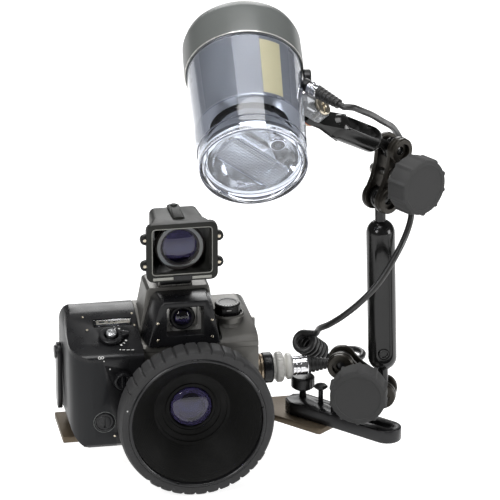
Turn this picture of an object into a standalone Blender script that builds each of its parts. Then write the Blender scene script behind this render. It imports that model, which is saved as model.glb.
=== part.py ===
"""Film camera for diving: wide conversion lens, optical finder, tray, ball-jointed arm, strobe, cord.

Metres, +Z up. The lens looks along -Y and +X is the viewer's right. The origin lies in the
underside of the tray, below the lens axis.
"""

import math

import bmesh
import bpy
from mathutils import Matrix, Vector

for old in list(bpy.data.objects):
    bpy.data.objects.remove(old)

# Clearances
GAP = 0.0003
RUN = 0.0006
FACET_SAG = 0.0003
WIDE_SAG = 0.0006
WIDE_RADIUS = 0.020

# Tray and camera body
TRAY_THICK = 0.006
TRAY_LEFT = -0.108
TRAY_RIGHT = 0.096
TRAY_FRONT = -0.026
TRAY_BACK = 0.030
TRIPOD_X = 0.010
TRIPOD_Y = 0.003
TRIPOD_RADIUS = 0.0031
LENS_AXIS_Z = 0.041
BODY_LEFT = -0.0975
BODY_RIGHT = 0.061
BODY_FRONT = -0.050
BODY_BACK = 0.020
BODY_TOP = 0.0905
BODY_BOTTOM = TRAY_THICK + GAP
BODY_CORNER = 0.012
GRIP_LEFT = -0.104
GRIP_RIGHT = -0.0405
GRIP_FRONT = -0.060
GRIP_WALL = 0.006
GRIP_CORNER = 0.022
GRIP_WING_FRONT = -0.020
TOP_RIDGE_Y = 0.002
TOP_RIDGE_Z = 0.1135
TOP_SLOPE = 0.30
SHOULDER = 0.013
HUMP_LEFT = -0.040
HUMP_RIGHT = 0.029
HUMP_TOP = 0.141
HUMP_BACK = 0.012
BLOCK_FRONT = -0.055
BLOCK_BACK = -0.026
BLOCK_HALF_LOW = 0.0317
BLOCK_HALF_HIGH = 0.0220
BLOCK_MIDDLE_LOW = -0.0051
BLOCK_MIDDLE_HIGH = -0.0037
BLOCK_FLOOR = 0.0974
BLOCK_TOP = 0.1385
WINDOW_WIDE = 0.032
WINDOW_HIGH = 0.026
WINDOW_X = -0.004
WINDOW_Z = 0.120
WINDOW_DEEP = 0.014

# Film chamber, door and hinge
FILM_HIGH = 0.047
CHAMBER_LEFT = -0.087
CHAMBER_RIGHT = 0.052
CHAMBER_FRONT = 0.004
SPOOL_X = -0.071
CARTRIDGE_X = 0.036
SPOOL_Y = 0.0045
CHAMBER_RADIUS = 0.0135
SPOOL_RADIUS = 0.0085
GATE_WIDE = 0.038
GATE_HIGH = 0.026
PLATE_WIDE = 0.060
PLATE_HIGH = 0.036
DOOR_THICK = 0.0075
DOOR_TOP = 0.0972
HINGE_X = 0.0662
HINGE_Y = 0.0205
HINGE_PIN_RADIUS = 0.0015
KNUCKLE_RADIUS = 0.0040
KNUCKLE_LOW = 0.024
KNUCKLE_HIGH = 0.087
LATCH_Y = 0.006
LATCH_Z = 0.074
LATCH_RADIUS = 0.0085
LATCH_LONG = 0.052
LATCH_THICK = 0.0042

# Controls
BUTTON_X = -0.066
BUTTON_Y = -0.036
BUTTON_RADIUS = 0.0047
BUTTON_RISE = 0.0060
BUTTON_POCKET = 0.0080
STEM_RADIUS = 0.0036
STEM_BORE = STEM_RADIUS + 0.0004
STEM_DEEP = 0.0045
BUTTON_TRAVEL = 0.0012
COLLAR_BORE = BUTTON_RADIUS + 0.0011
COLLAR_RADIUS = 0.0110
COLLAR_HIGH = 0.0030
COUNTER_X = -0.0622
COUNTER_Y = -0.0165
COUNTER_WIDE = 0.034
COUNTER_DEEP = 0.011
COUNTER_RECESS = 0.0030
FOCUS_X = -0.060
FOCUS_Z = 0.072
FOCUS_RADIUS = 0.0080
FOCUS_BORE = 0.0042
CAP_X = -0.076
CAP_Z = 0.033
CAP_RADIUS = 0.0087
CELL_RADIUS = 0.0074
CELL_LONG = 0.027
DIAL_X = 0.0388
DIAL_Y = -0.020
DIAL_RADIUS = 0.0112
DIAL_TOP = 0.121
DIAL_HIGH = 0.0105

# Conversion lens
LENS_FRONT = -0.095
RIM_RADIUS = 0.0570
RIM_LIP = 0.0029
SEAT_RADIUS = RIM_RADIUS + RIM_LIP
RING_WALL = 0.0083
RING_RADIUS = SEAT_RADIUS + GAP + RING_WALL
RING_LONG = 0.0195
RIB_HIGH = 0.0020
RIB_COUNT = 11
RIB_HALF_ARC = math.radians(50)
RIB_MIDDLE = math.radians(102)
HOOD_MOUTH = 0.0035
HOOD_DEEP = 0.031
HOOD_EYE = 0.0185
HOOD_THROAT = HOOD_EYE + 0.0150
HOOD_WALL = 0.0012
HOOD_TAIL_RADIUS = HOOD_THROAT + 2 * HOOD_WALL
HOOD_TAIL = 0.0120
BARREL_WALL = 0.0030
PORT_RADIUS = 0.0180

# Optical finder
FINDER_X = -0.0055
FINDER_Z = 0.1825
FINDER_WIDE = 0.062
FINDER_HIGH = 0.053
FINDER_FRONT = -0.050
FINDER_LONG = 0.052
FINDER_WALL = 0.0022
FINDER_LENS_RADIUS = 0.0214
FINDER_REAR_WIDE = 0.046
FINDER_REAR_HIGH = 0.047
FOOT_HALF = 0.0155
FOOT_MIDDLE_X = -0.0075

# Sync connector at the right of the body
SYNC_Y = -0.015
SYNC_Z = 0.054
SOCKET_RADIUS = 0.0135
SOCKET_END = 0.079
PLUG_END = 0.0960
COUPLING_RADIUS = 0.0085
COUPLING_END = 0.111
RELIEF_END = 0.131
CORD_RADIUS = 0.00275

# Arm
BAR_START = Vector((0.1008, -0.0004, 0))
BAR_END = Vector((0.1780, -0.0872, 0))
BAR_WIDE = 0.025
BAR_THICK = 0.012
WING_HALF = 0.0205
WING_LONG = 0.047
BALL_RADIUS = 0.0095
NECK_RADIUS = 0.0047
CLAMP_RADIUS = 0.0120
CLAMP_DEEP = 0.0140
CLAMP_SPLIT = 0.0055
CLAMP_WEB = 0.0100
CLAMP_WAIST = 0.0085
BOLT_RADIUS = 0.0030
KNOB_RADIUS = 0.0245
KNOB_BUMP = 0.0016
KNOB_BUMPS = 10
KNOB_FRONT = 0.0490
KNOB_LONG = 0.0215
ARM_RADIUS = 0.0125
ARM_SHOULDER = 0.0205
POST_BALL = Vector((0.1366, -0.0392, 0.0654))
LOW_BALL = Vector((0.1716, -0.0492, 0.0394))
HIGH_BALL = Vector((0.1671, -0.0492, 0.2214))
SHORT_BALL = Vector((0.1786, -0.0422, 0.2634))
SHORT_ARM_RADIUS = 0.0112

# Strobe
STROBE_REAR = Vector((0.04711, -0.05687, 0.34449))
STROBE_AXIS = Vector((0.083, 0.897, 0.434)).normalized()
TONGUE_CENTRE = Vector((0.0993, -0.0837, 0.3128))
FLASH_RADIUS = 0.0455
FLASH_REAR_RADIUS = 0.0495
FLASH_LONG = 0.1085
STROBE_FRONT = STROBE_REAR - STROBE_AXIS * FLASH_LONG
FLASH_WALL = 0.003
CAP_LONG = 0.0455
LINER_FRONT = 0.0400
LINER_BORE = 0.725 * FLASH_RADIUS
SENSOR_RADIUS = 0.0080
SENSOR_X = 0.44 * FLASH_RADIUS
SENSOR_Y = -0.4286 * FLASH_RADIUS
FLASH_DIAL_SETBACK = 0.0071
LUG_HALF = 0.0050
LUG_RADIUS = 0.0090
TONGUE_HALF = 0.0030
STROBE_PLUG_LONG = 0.0340
PLUG_SEAT = Vector((0.0977, -0.0863, 0.3398))
PLUG_AXIS = Vector((0.594, -0.777, -0.207)).normalized()

# Cord: the curly part's first turn, and the hand-chosen points of the two free stretches
COIL_START = Vector((0.1087, -0.0020, 0.0713))
COIL_AXIS = Vector((0.547, 0.573, -0.610)).normalized()
COIL_RADIUS = 0.0079
COIL_TURNS = 5.67
COIL_PITCH = 0.0064
COIL_POINTS = 9
CURVE_STEPS = 20
UPPER_ROUTE = [
    (0.1285, -0.1190, 0.3314),
    (0.1391, -0.1080, 0.3234),
    (0.1511, -0.0900, 0.3125),
    (0.1640, -0.0660, 0.2980),
    (0.1740, -0.0440, 0.2862),
    (0.1803, -0.0320, 0.2790),
    (0.1860, -0.0230, 0.2705),
    (0.1910, -0.0190, 0.2610),
    (0.1945, -0.0200, 0.2510),
    (0.1960, -0.0250, 0.2400),
    (0.1962, -0.0300, 0.2270),
    (0.1964, -0.0360, 0.2132),
    (0.1957, -0.0440, 0.1989),
    (0.1874, -0.0570, 0.1851),
    (0.1750, -0.0680, 0.1690),
    (0.1609, -0.0740, 0.1511),
    (0.1462, -0.0730, 0.1350),
    (0.1329, -0.0640, 0.1193),
    (0.1232, -0.0500, 0.1061),
    (0.1180, -0.0320, 0.0950),
]
LOWER_ROUTE = [
    (0.1450, -0.0150, 0.0540),
    (0.1570, -0.0120, 0.0548),
    (0.1630, -0.0030, 0.0555),
    (0.1590, 0.0080, 0.0555),
    (0.1480, 0.0130, 0.0540),
]

UP = Vector((0, 0, 1))
MATERIALS = {}


def finish(name, colour, roughness, metallic=0.0, alpha=1.0):
    """A Principled material, made once for each name."""
    if name not in MATERIALS:
        made = bpy.data.materials.new(name)
        made.use_nodes = True
        shader = made.node_tree.nodes["Principled BSDF"]
        shader.inputs["Base Color"].default_value = (*colour, 1)
        shader.inputs["Roughness"].default_value = roughness
        shader.inputs["Metallic"].default_value = metallic
        shader.inputs["Alpha"].default_value = alpha
        MATERIALS[name] = made
    return MATERIALS[name]


def gunmetal():
    return finish("gunmetal", (0.12, 0.115, 0.10), 0.42, 0.6)


def black_shell():
    return finish("black_shell", (0.02, 0.021, 0.025), 0.38)


def satin_black():
    return finish("satin_black", (0.012, 0.012, 0.013), 0.3, 0.4)


def knob_rubber():
    return finish("knob_rubber", (0.045, 0.045, 0.043), 0.75)


def ring_rubber():
    return finish("ring_rubber", (0.06, 0.06, 0.063), 0.65)


def hood_black():
    return finish("hood_black", (0.006, 0.006, 0.006), 0.6)


def optical_glass():
    return finish("optical_glass", (0.03, 0.03, 0.06), 0.03)


def clear_plastic():
    return finish("clear_plastic", (0.85, 0.87, 0.92), 0.05, 0.0, 0.3)


def chrome():
    return finish("chrome", (0.8, 0.8, 0.82), 0.15, 1.0)


def steel():
    return finish("steel", (0.55, 0.55, 0.56), 0.35, 1.0)


def white_nylon():
    return finish("white_nylon", (0.75, 0.74, 0.71), 0.4)


def tray_alloy():
    return finish("tray_alloy", (0.19, 0.14, 0.09), 0.55, 0.3)


def cap_grey():
    return finish("cap_grey", (0.19, 0.20, 0.19), 0.4)


def cord_black():
    return finish("cord_black", (0.02, 0.02, 0.02), 0.5)


def frame(origin, z_axis, x_hint=(1, 0, 0)):
    """A placing matrix: its Z runs along z_axis and its X is as near x_hint as that allows."""
    z = Vector(z_axis).normalized()
    x = Vector(x_hint)
    x = (x - x.dot(z) * z).normalized()
    y = z.cross(x)
    turned = Matrix((x, y, z)).transposed().to_4x4()
    return Matrix.Translation(Vector(origin)) @ turned


def along_y(x, y, z):
    """A frame whose Z looks out of the camera's front, along -Y, with X kept."""
    return frame((x, y, z), (0, -1, 0))


def closed(bm):
    """Merges doubled points and turns the faces outwards."""
    bmesh.ops.remove_doubles(bm, verts=bm.verts, dist=1e-7)
    bmesh.ops.recalc_face_normals(bm, faces=bm.faces)
    return bm


def facets(radius):
    """How many sides keep a circle's flats within the allowed sag."""
    sag = WIDE_SAG if radius > WIDE_RADIUS else FACET_SAG
    return 4 * math.ceil(math.pi / math.acos(1 - sag / radius) / 4)


def turned(profile, steps=None):
    """A solid turned about Z from (radius, height) points, closed at the axis or as a ring."""
    steps = steps or facets(max(radius for radius, _ in profile))
    bm = bmesh.new()
    points = [bm.verts.new((r, 0, h)) for r, h in profile]
    edges = [bm.edges.new(pair) for pair in zip(points, points[1:])]
    if profile[0][0] > 0:
        edges.append(bm.edges.new((points[-1], points[0])))
    bmesh.ops.spin(
        bm, geom=points + edges, axis=UP, cent=(0, 0, 0), angle=math.tau, steps=steps, use_merge=True
    )
    return closed(bm)


def extruded(outline, low, high):
    """An outline in X and Y, raised from low to high along Z."""
    bm = bmesh.new()
    base = bm.faces.new([bm.verts.new((x, y, low)) for x, y in outline])
    raised = bmesh.ops.extrude_face_region(bm, geom=[base])["geom"]
    tops = [v for v in raised if isinstance(v, bmesh.types.BMVert)]
    bmesh.ops.translate(bm, verts=tops, vec=(0, 0, high - low))
    return closed(bm)


def lofted(sections):
    """A solid through closed rings of points, all with the same count, capped at both ends."""
    bm = bmesh.new()
    rings = [[bm.verts.new(p) for p in ring] for ring in sections]
    count = len(rings[0])
    for one, two in zip(rings, rings[1:]):
        for i in range(count):
            bm.faces.new((one[i], one[(i + 1) % count], two[(i + 1) % count], two[i]))
    bm.faces.new(rings[0])
    bm.faces.new(rings[-1])
    return closed(bm)


def box(x0, x1, y0, y1, z0, z1):
    return extruded([(x0, y0), (x1, y0), (x1, y1), (x0, y1)], z0, z1)


def rod(radius, low, high):
    return turned([(0, low), (radius, low), (radius, high), (0, high)])


def ball(radius, rings=6):
    angles = [math.pi * (i / rings - 0.5) for i in range(1, rings)]
    middle = [(radius * math.cos(a), radius * math.sin(a)) for a in angles]
    return turned([(0, -radius)] + middle + [(0, radius)])


def arc(cx, cy, radius, start, end, steps):
    """Points on an arc, in degrees, both ends kept."""
    angles = [math.radians(start + (end - start) * i / steps) for i in range(steps + 1)]
    return [(cx + radius * math.cos(a), cy + radius * math.sin(a)) for a in angles]


def rounded(x0, x1, y0, y1, radii, steps=4):
    """A rounded rectangle; radii go lower left, lower right, upper right, upper left."""
    ll, lr, ur, ul = radii
    return (
        arc(x0 + ll, y0 + ll, ll, 180, 270, steps)
        + arc(x1 - lr, y0 + lr, lr, 270, 360, steps)
        + arc(x1 - ur, y1 - ur, ur, 0, 90, steps)
        + arc(x0 + ul, y1 - ul, ul, 90, 180, steps)
    )


def swap_to_xz(bm):
    """Turns a solid drawn in X and Y so that it is drawn in X and Z, with its depth along Y."""
    bmesh.ops.transform(
        bm, matrix=Matrix(((1, 0, 0, 0), (0, 0, 1, 0), (0, 1, 0, 0), (0, 0, 0, 1))), verts=bm.verts
    )
    return closed(bm)


def swap_to_yz(bm):
    """Turns a solid drawn in X and Y so that it is drawn in Y and Z, with its length along X."""
    bmesh.ops.transform(
        bm, matrix=Matrix(((0, 0, 1, 0), (1, 0, 0, 0), (0, 1, 0, 0), (0, 0, 0, 1))), verts=bm.verts
    )
    return closed(bm)


def placed(name, bm, material=None, place=None, sharp=35):
    """Makes the object, with its origin and axes at place and smooth shading up to the sharp angle."""
    mesh = bpy.data.meshes.new(name)
    bm.to_mesh(mesh)
    bm.free()
    mesh.shade_smooth()
    mesh.set_sharp_from_angle(angle=math.radians(sharp))
    made = bpy.data.objects.new(name, mesh)
    bpy.context.scene.collection.objects.link(made)
    made.matrix_world = place or Matrix.Identity(4)
    if material:
        mesh.materials.append(material)
    return made


def shaped(target, bm, how="DIFFERENCE", place=None):
    """Cuts, joins or keeps the common part of target and another solid, whose place is in world axes."""
    tool = placed(f"{target.name}_{how.lower()}_{len(target.modifiers)}", bm, None, place)
    tool.hide_render = True
    tool.display_type = "WIRE"
    step = target.modifiers.new(how.title(), "BOOLEAN")
    step.operation = how
    step.solver = "EXACT"
    step.object = tool
    return target


def softened(target, width, segments=2, angle=40):
    """Rounds the edges sharper than the angle."""
    bevel = target.modifiers.new("Edges", "BEVEL")
    bevel.width = width
    bevel.segments = segments
    bevel.limit_method = "ANGLE"
    bevel.angle_limit = math.radians(angle)
    return target


def top_height(y):
    """The height of the camera's sloping top at depth y."""
    return TOP_RIDGE_Z - TOP_SLOPE * max(0.0, TOP_RIDGE_Y - y)


def top_frame(x, y, lift=0.0):
    """A frame standing on the sloping top, its Z square to the slope."""
    normal = Vector((0, -TOP_SLOPE, 1)).normalized()
    return frame(Vector((x, y, top_height(y))) + lift * normal, normal)


def top_profile(front, back, low):
    """The side outline, in Y and Z, of what the sloping top covers."""
    return [
        (front, low),
        (back, low),
        (back, TOP_RIDGE_Z - 0.004),
        (back - 0.004, TOP_RIDGE_Z),
        (TOP_RIDGE_Y + 0.004, TOP_RIDGE_Z),
        (TOP_RIDGE_Y - 0.004, top_height(TOP_RIDGE_Y - 0.004)),
        (front + 0.004, top_height(front + 0.004)),
        (front, top_height(front) - 0.003),
    ]


def body_shell():
    outline = rounded(
        GRIP_RIGHT + GAP, BODY_RIGHT, BODY_BOTTOM, BODY_TOP, (0.001, BODY_CORNER, 0.001, 0.001)
    )
    shell = placed("body_shell", swap_to_xz(extruded(outline, BODY_FRONT, BODY_BACK)), gunmetal())
    wing = box(BODY_LEFT, 0, GRIP_WING_FRONT, BODY_BACK, BODY_BOTTOM + GRIP_WALL, BODY_TOP - GRIP_WALL)
    shaped(shell, wing, "UNION")
    for low, high in lug_spans():
        lug = extruded(
            arc(0, 0, KNUCKLE_RADIUS, 0, 180, 8) + [(-0.008, -0.002), (0, -KNUCKLE_RADIUS)], low, high
        )
        shaped(shell, lug, "UNION", Matrix.Translation((HINGE_X, HINGE_Y, 0)))
    shaped(shell, rod(HINGE_PIN_RADIUS + GAP, KNUCKLE_LOW - 0.01, KNUCKLE_HIGH + 0.01), place=hinge_frame())
    low, high = LENS_AXIS_Z - FILM_HIGH / 2, LENS_AXIS_Z + FILM_HIGH / 2
    shaped(shell, box(CHAMBER_LEFT, CHAMBER_RIGHT, CHAMBER_FRONT, BODY_BACK + 0.01, low, high))
    for x in (SPOOL_X, CARTRIDGE_X):
        shaped(
            shell, rod(CHAMBER_RADIUS, low + 0.0007, high - 0.0007),
            place=Matrix.Translation((x, SPOOL_Y, 0))
        )
    gate = box(
        -GATE_WIDE / 2, GATE_WIDE / 2, -0.004, CHAMBER_FRONT + 0.001, LENS_AXIS_Z - GATE_HIGH / 2,
        LENS_AXIS_Z + GATE_HIGH / 2
    )
    shaped(shell, gate)
    shaped(shell, rod(PORT_RADIUS, -0.0455, 0.001), place=along_y(0, BODY_FRONT, LENS_AXIS_Z))
    return shell


def lug_spans():
    """The lower and upper hinge lugs of the body; the door's knuckle fills the middle."""
    third = (KNUCKLE_HIGH - KNUCKLE_LOW) / 4
    return [(KNUCKLE_LOW, KNUCKLE_LOW + third), (KNUCKLE_HIGH - third, KNUCKLE_HIGH)]


def hinge_frame():
    return Matrix.Translation((HINGE_X, HINGE_Y, 0))


def top_cover():
    """The top casting: sloping plate, rounded right shoulder, stepped dial boss and finder hump."""
    side = swap_to_yz(
        extruded(top_profile(BODY_FRONT, BODY_BACK, BODY_TOP + GAP), GRIP_RIGHT + GAP, BODY_RIGHT + 0.01)
    )
    cover = placed("top_cover", side, gunmetal())
    end = rounded(
        GRIP_RIGHT - 0.01, BODY_RIGHT, BODY_BOTTOM, TOP_RIDGE_Z + 0.0002, (0.001, 0.001, SHOULDER, 0.001), 6
    )
    shaped(cover, swap_to_xz(extruded(end, BODY_FRONT - 0.01, BODY_BACK + 0.01)), "INTERSECT")
    r = DIAL_RADIUS + 0.0016
    boss = [
        (0, -0.012), (r + 0.0022, -0.012), (r + 0.0022, -0.0075), (r, -0.0055), (r, -GAP), (0, -GAP),
    ]
    shaped(cover, turned(boss), "UNION", Matrix.Translation((DIAL_X, DIAL_Y, DIAL_TOP - DIAL_HIGH)))
    sections = []
    for z, inset, back in (
        (BLOCK_FLOOR + 0.0016, 0, HUMP_BACK + 0.004), (BLOCK_FLOOR + 0.0176, 0.0028, HUMP_BACK + 0.002),
        (HUMP_TOP - 0.002, 0.0070, HUMP_BACK), (HUMP_TOP, 0.0095, HUMP_BACK - 0.002),
    ):
        left, right = HUMP_LEFT + inset, HUMP_RIGHT - inset
        plan = rounded(left, right, BLOCK_BACK + GAP, back, (0.001, 0.001, 0.007, 0.007))
        sections.append([(x, y, z) for x, y in plan])
    shaped(cover, lofted(sections), "UNION")
    notch = box(
        HUMP_LEFT - 0.0005, HUMP_RIGHT + 0.0005, BODY_FRONT - 0.01, BLOCK_BACK + GAP, BLOCK_FLOOR,
        HUMP_TOP + 0.01,
    )
    shaped(cover, notch)
    shaped(cover, rod(0.0080 + GAP, -0.006, 0.01), place=frame((WINDOW_X, HUMP_BACK, WINDOW_Z), (0, 1, 0)))
    slot = box(
        FOOT_MIDDLE_X - 0.0150, FOOT_MIDDLE_X + 0.0150, -0.024, HUMP_BACK + 0.01, HUMP_TOP - 0.0012,
        HUMP_TOP + 0.01
    )
    shaped(cover, slot)
    return cover


def grip_cover():
    """The black grip: a sloping top, a big rounded left end, and a hollow for the body's wing."""
    profile = arc(GRIP_FRONT + 0.010, BODY_BOTTOM + 0.010, 0.010, 270, 180, 3)
    profile += arc(GRIP_FRONT + 0.005, top_height(GRIP_FRONT) - 0.005, 0.005, 180, 107, 3)
    profile += [(TOP_RIDGE_Y - 0.005, top_height(TOP_RIDGE_Y - 0.005)), (TOP_RIDGE_Y + 0.005, TOP_RIDGE_Z)]
    profile += arc(BODY_BACK - 0.004, TOP_RIDGE_Z - 0.004, 0.004, 90, 0, 3)
    profile += [(BODY_BACK, BODY_BOTTOM)]
    grip = placed("grip_cover", swap_to_yz(extruded(profile, GRIP_LEFT - 0.01, GRIP_RIGHT)), black_shell())
    end = rounded(
        GRIP_LEFT, GRIP_RIGHT + 0.01, BODY_BOTTOM, TOP_RIDGE_Z + 0.001, (GRIP_CORNER, 0.001, 0.001, 0.014),
        6
    )
    shaped(grip, swap_to_xz(extruded(end, GRIP_FRONT - 0.01, BODY_BACK + 0.01)), "INTERSECT")
    plan = rounded(
        GRIP_LEFT, GRIP_RIGHT + 0.01, GRIP_FRONT, BODY_BACK + 0.01, (0.020, 0.001, 0.001, 0.001), 6
    )
    shaped(grip, extruded(plan, 0, 0.2), "INTERSECT")
    hollow = box(BODY_LEFT - GAP, GRIP_RIGHT + 0.01, GRIP_WING_FRONT - GAP, BODY_BACK + 0.01,
                 BODY_BOTTOM + GRIP_WALL - GAP, BODY_TOP - GRIP_WALL + GAP)
    shaped(grip, hollow)
    shaped(grip, rod(CELL_RADIUS + GAP, -CELL_LONG - 0.0045, 0.01), place=along_y(CAP_X, GRIP_FRONT, CAP_Z))
    shaped(grip, rod(CAP_RADIUS + GAP, -0.0045, 0.01), place=along_y(CAP_X, GRIP_FRONT, CAP_Z))
    shaped(grip, focus_recess(), place=along_y(FOCUS_X, GRIP_FRONT, FOCUS_Z))
    shaped(grip, rod(FOCUS_BORE, -0.007, 0.001), place=along_y(FOCUS_X, GRIP_FRONT, FOCUS_Z))
    window = box(
        -COUNTER_WIDE / 2, COUNTER_WIDE / 2, -COUNTER_DEEP / 2, COUNTER_DEEP / 2, -COUNTER_RECESS, 0.01
    )
    shaped(grip, window, place=top_frame(COUNTER_X, COUNTER_Y))
    button_place = top_frame(BUTTON_X, BUTTON_Y)
    shaped(grip, rod(BUTTON_POCKET, -STEM_DEEP + 0.0010, 0.01), place=button_place)
    shaped(grip, rod(STEM_BORE, -STEM_DEEP - BUTTON_TRAVEL - GAP, 0.001), place=button_place)
    return grip


def focus_recess():
    """The drop-shaped recess round the focus knob, pointed at its upper left."""
    reach = FOCUS_RADIUS + 0.0022
    return extruded(arc(0, 0, reach, -150, 60, 14) + [(-0.0150, 0.0140)], -0.0012, 0.005)


def viewfinder_block():
    """The black finder block: a keystone front with a deep window, tapering back to the hump."""
    def ring(y, low, spread):
        half_low, half_high = BLOCK_HALF_LOW + spread, BLOCK_HALF_HIGH + spread
        return [
            (BLOCK_MIDDLE_LOW - half_low, y, low),
            (BLOCK_MIDDLE_LOW + half_low, y, low),
            (BLOCK_MIDDLE_HIGH + half_high + 0.0016, y, BLOCK_TOP - 0.0050),
            (BLOCK_MIDDLE_HIGH + half_high - 0.0030, y, BLOCK_TOP),
            (BLOCK_MIDDLE_HIGH - half_high + 0.0030, y, BLOCK_TOP),
            (BLOCK_MIDDLE_HIGH - half_high - 0.0016, y, BLOCK_TOP - 0.0050),
        ]
    low = BLOCK_FLOOR + GAP
    block = placed(
        "viewfinder_block", lofted([ring(BLOCK_FRONT, low, 0), ring(BLOCK_BACK - GAP, low, 0.0028)]),
        satin_black()
    )
    softened(block, 0.0008)
    window = rounded(WINDOW_X - WINDOW_WIDE / 2, WINDOW_X + WINDOW_WIDE / 2, WINDOW_Z - WINDOW_HIGH / 2,
                     WINDOW_Z + WINDOW_HIGH / 2, (0.0015,) * 4, 2)
    shaped(block, swap_to_xz(extruded(window, BLOCK_FRONT - 0.01, BLOCK_FRONT + WINDOW_DEEP)))
    return block


def viewfinder_lens():
    """A bright mask plate with the finder's round front lens standing in it."""
    half_w, half_h = WINDOW_WIDE / 2 - GAP, WINDOW_HIGH / 2 - GAP
    plate = extruded(rounded(-half_w, half_w, -half_h, half_h, (0.0012,) * 4, 2), 0, 0.003)
    lens = placed(
        "viewfinder_lens", plate, chrome(), along_y(WINDOW_X, BLOCK_FRONT + WINDOW_DEEP - GAP, WINDOW_Z)
    )
    radius = 0.0112
    tube = turned(
        [
            (0, 0.001), (radius, 0.001), (radius, 0.007), (radius - 0.001, 0.008), (radius - 0.0025, 0.008),
            (0.005, 0.0095), (0, 0.0100)
        ]
    )
    return shaped(
        lens, tube, "UNION", along_y(WINDOW_X - 0.0015, BLOCK_FRONT + WINDOW_DEEP - GAP, WINDOW_Z + 0.0012)
    )


def small_controls():
    """Eyepiece, counter window, shutter button, power lever, focus knob, battery and cap, dial."""
    eyepiece = [
        (0, -0.0056), (0.0080, -0.0056), (0.0080, 0.0010), (0.0064, 0.0024), (0.0056, 0.0012), (0, 0.0005),
    ]
    placed("eyepiece", turned(eyepiece), optical_glass(), frame((WINDOW_X, HUMP_BACK, WINDOW_Z), (0, 1, 0)))
    half_wide, half_deep = COUNTER_WIDE / 2 - GAP, COUNTER_DEEP / 2 - GAP
    glass = box(-half_wide, half_wide, -half_deep, half_deep, -COUNTER_RECESS + GAP, -0.0006)
    placed("counter_window", glass, optical_glass(), top_frame(COUNTER_X, COUNTER_Y))
    shutter_controls()
    focus_place = along_y(FOCUS_X, GRIP_FRONT, FOCUS_Z)
    r = FOCUS_RADIUS
    stem = FOCUS_BORE - 0.0004
    knob = [
        (0, -0.0066), (stem, -0.0066), (stem, -0.0008), (r, -0.0008), (r, 0.0050), (r - 0.0012, 0.0062),
        (0, 0.0062),
    ]
    focus = placed("focus_knob", turned(knob), satin_black(), focus_place)
    shaped(focus, box(-0.0012, 0.0012, r - 0.002, r + 0.002, 0.0030, 0.01), place=focus_place)
    battery_place = along_y(CAP_X, GRIP_FRONT, CAP_Z)
    r = CELL_RADIUS
    end = CELL_LONG + 0.0030
    cell = [(0, -end), (r, -end), (r, -0.0065), (0.0030, -0.0065), (0.0030, -0.0052), (0, -0.0052)]
    placed("battery_cell", turned(cell), steel(), battery_place)
    r = CAP_RADIUS
    cap = [
        (0, -0.0042), (r, -0.0042), (r, 0.0002), (r - 0.0012, 0.0006), (r - 0.0016, -0.0004), (0, -0.0004),
    ]
    battery_cap = placed("battery_cap", turned(cap), satin_black(), battery_place)
    shaped(battery_cap, box(-0.0008, 0.0008, -0.0055, 0.0055, -0.0020, 0.002), place=battery_place)
    dial_place = Matrix.Translation((DIAL_X, DIAL_Y, DIAL_TOP))
    r = DIAL_RADIUS
    dial = turned([(0, -DIAL_HIGH), (r, -DIAL_HIGH), (r, -0.0012), (r - 0.0012, 0), (0, 0)])
    aperture = placed("aperture_dial", dial, satin_black(), dial_place)
    shaped(aperture, box(-0.0062, 0.0062, -0.02, -r + 0.0030, -0.0090, -0.0030), place=dial_place)


def shutter_controls():
    """The shutter button, whose stem runs in the grip's bore, clear inside the power lever's ring."""
    place = top_frame(BUTTON_X, BUTTON_Y)
    r, top = BUTTON_RADIUS, BUTTON_RISE
    stem = [
        (0, -STEM_DEEP), (STEM_RADIUS, -STEM_DEEP), (STEM_RADIUS, 0.0026), (r, 0.0030), (r, top - 0.0008),
        (r - 0.0007, top), (0.0022, top - 0.0003), (0, top - 0.0005),
    ]
    placed("shutter_button", turned(stem), chrome(), place)
    bore, outer, high = COLLAR_BORE, COLLAR_RADIUS, COLLAR_HIGH
    low = 0.0004
    collar = [
        (bore, low), (outer, low), (outer, high - 0.0008), (outer - 0.001, high), (bore + 0.0010, high),
        (bore, high - 0.0012),
    ]
    lever = placed("power_lever", turned(collar), satin_black(), place)
    inner = outer - 0.0025
    tab = [(inner, -0.0035), (outer + 0.0040, -0.0022), (outer + 0.0048, 0.0018), (inner, 0.0042)]
    shaped(lever, extruded(tab, low + 0.0001, high + 0.0012), "UNION", place)


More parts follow.
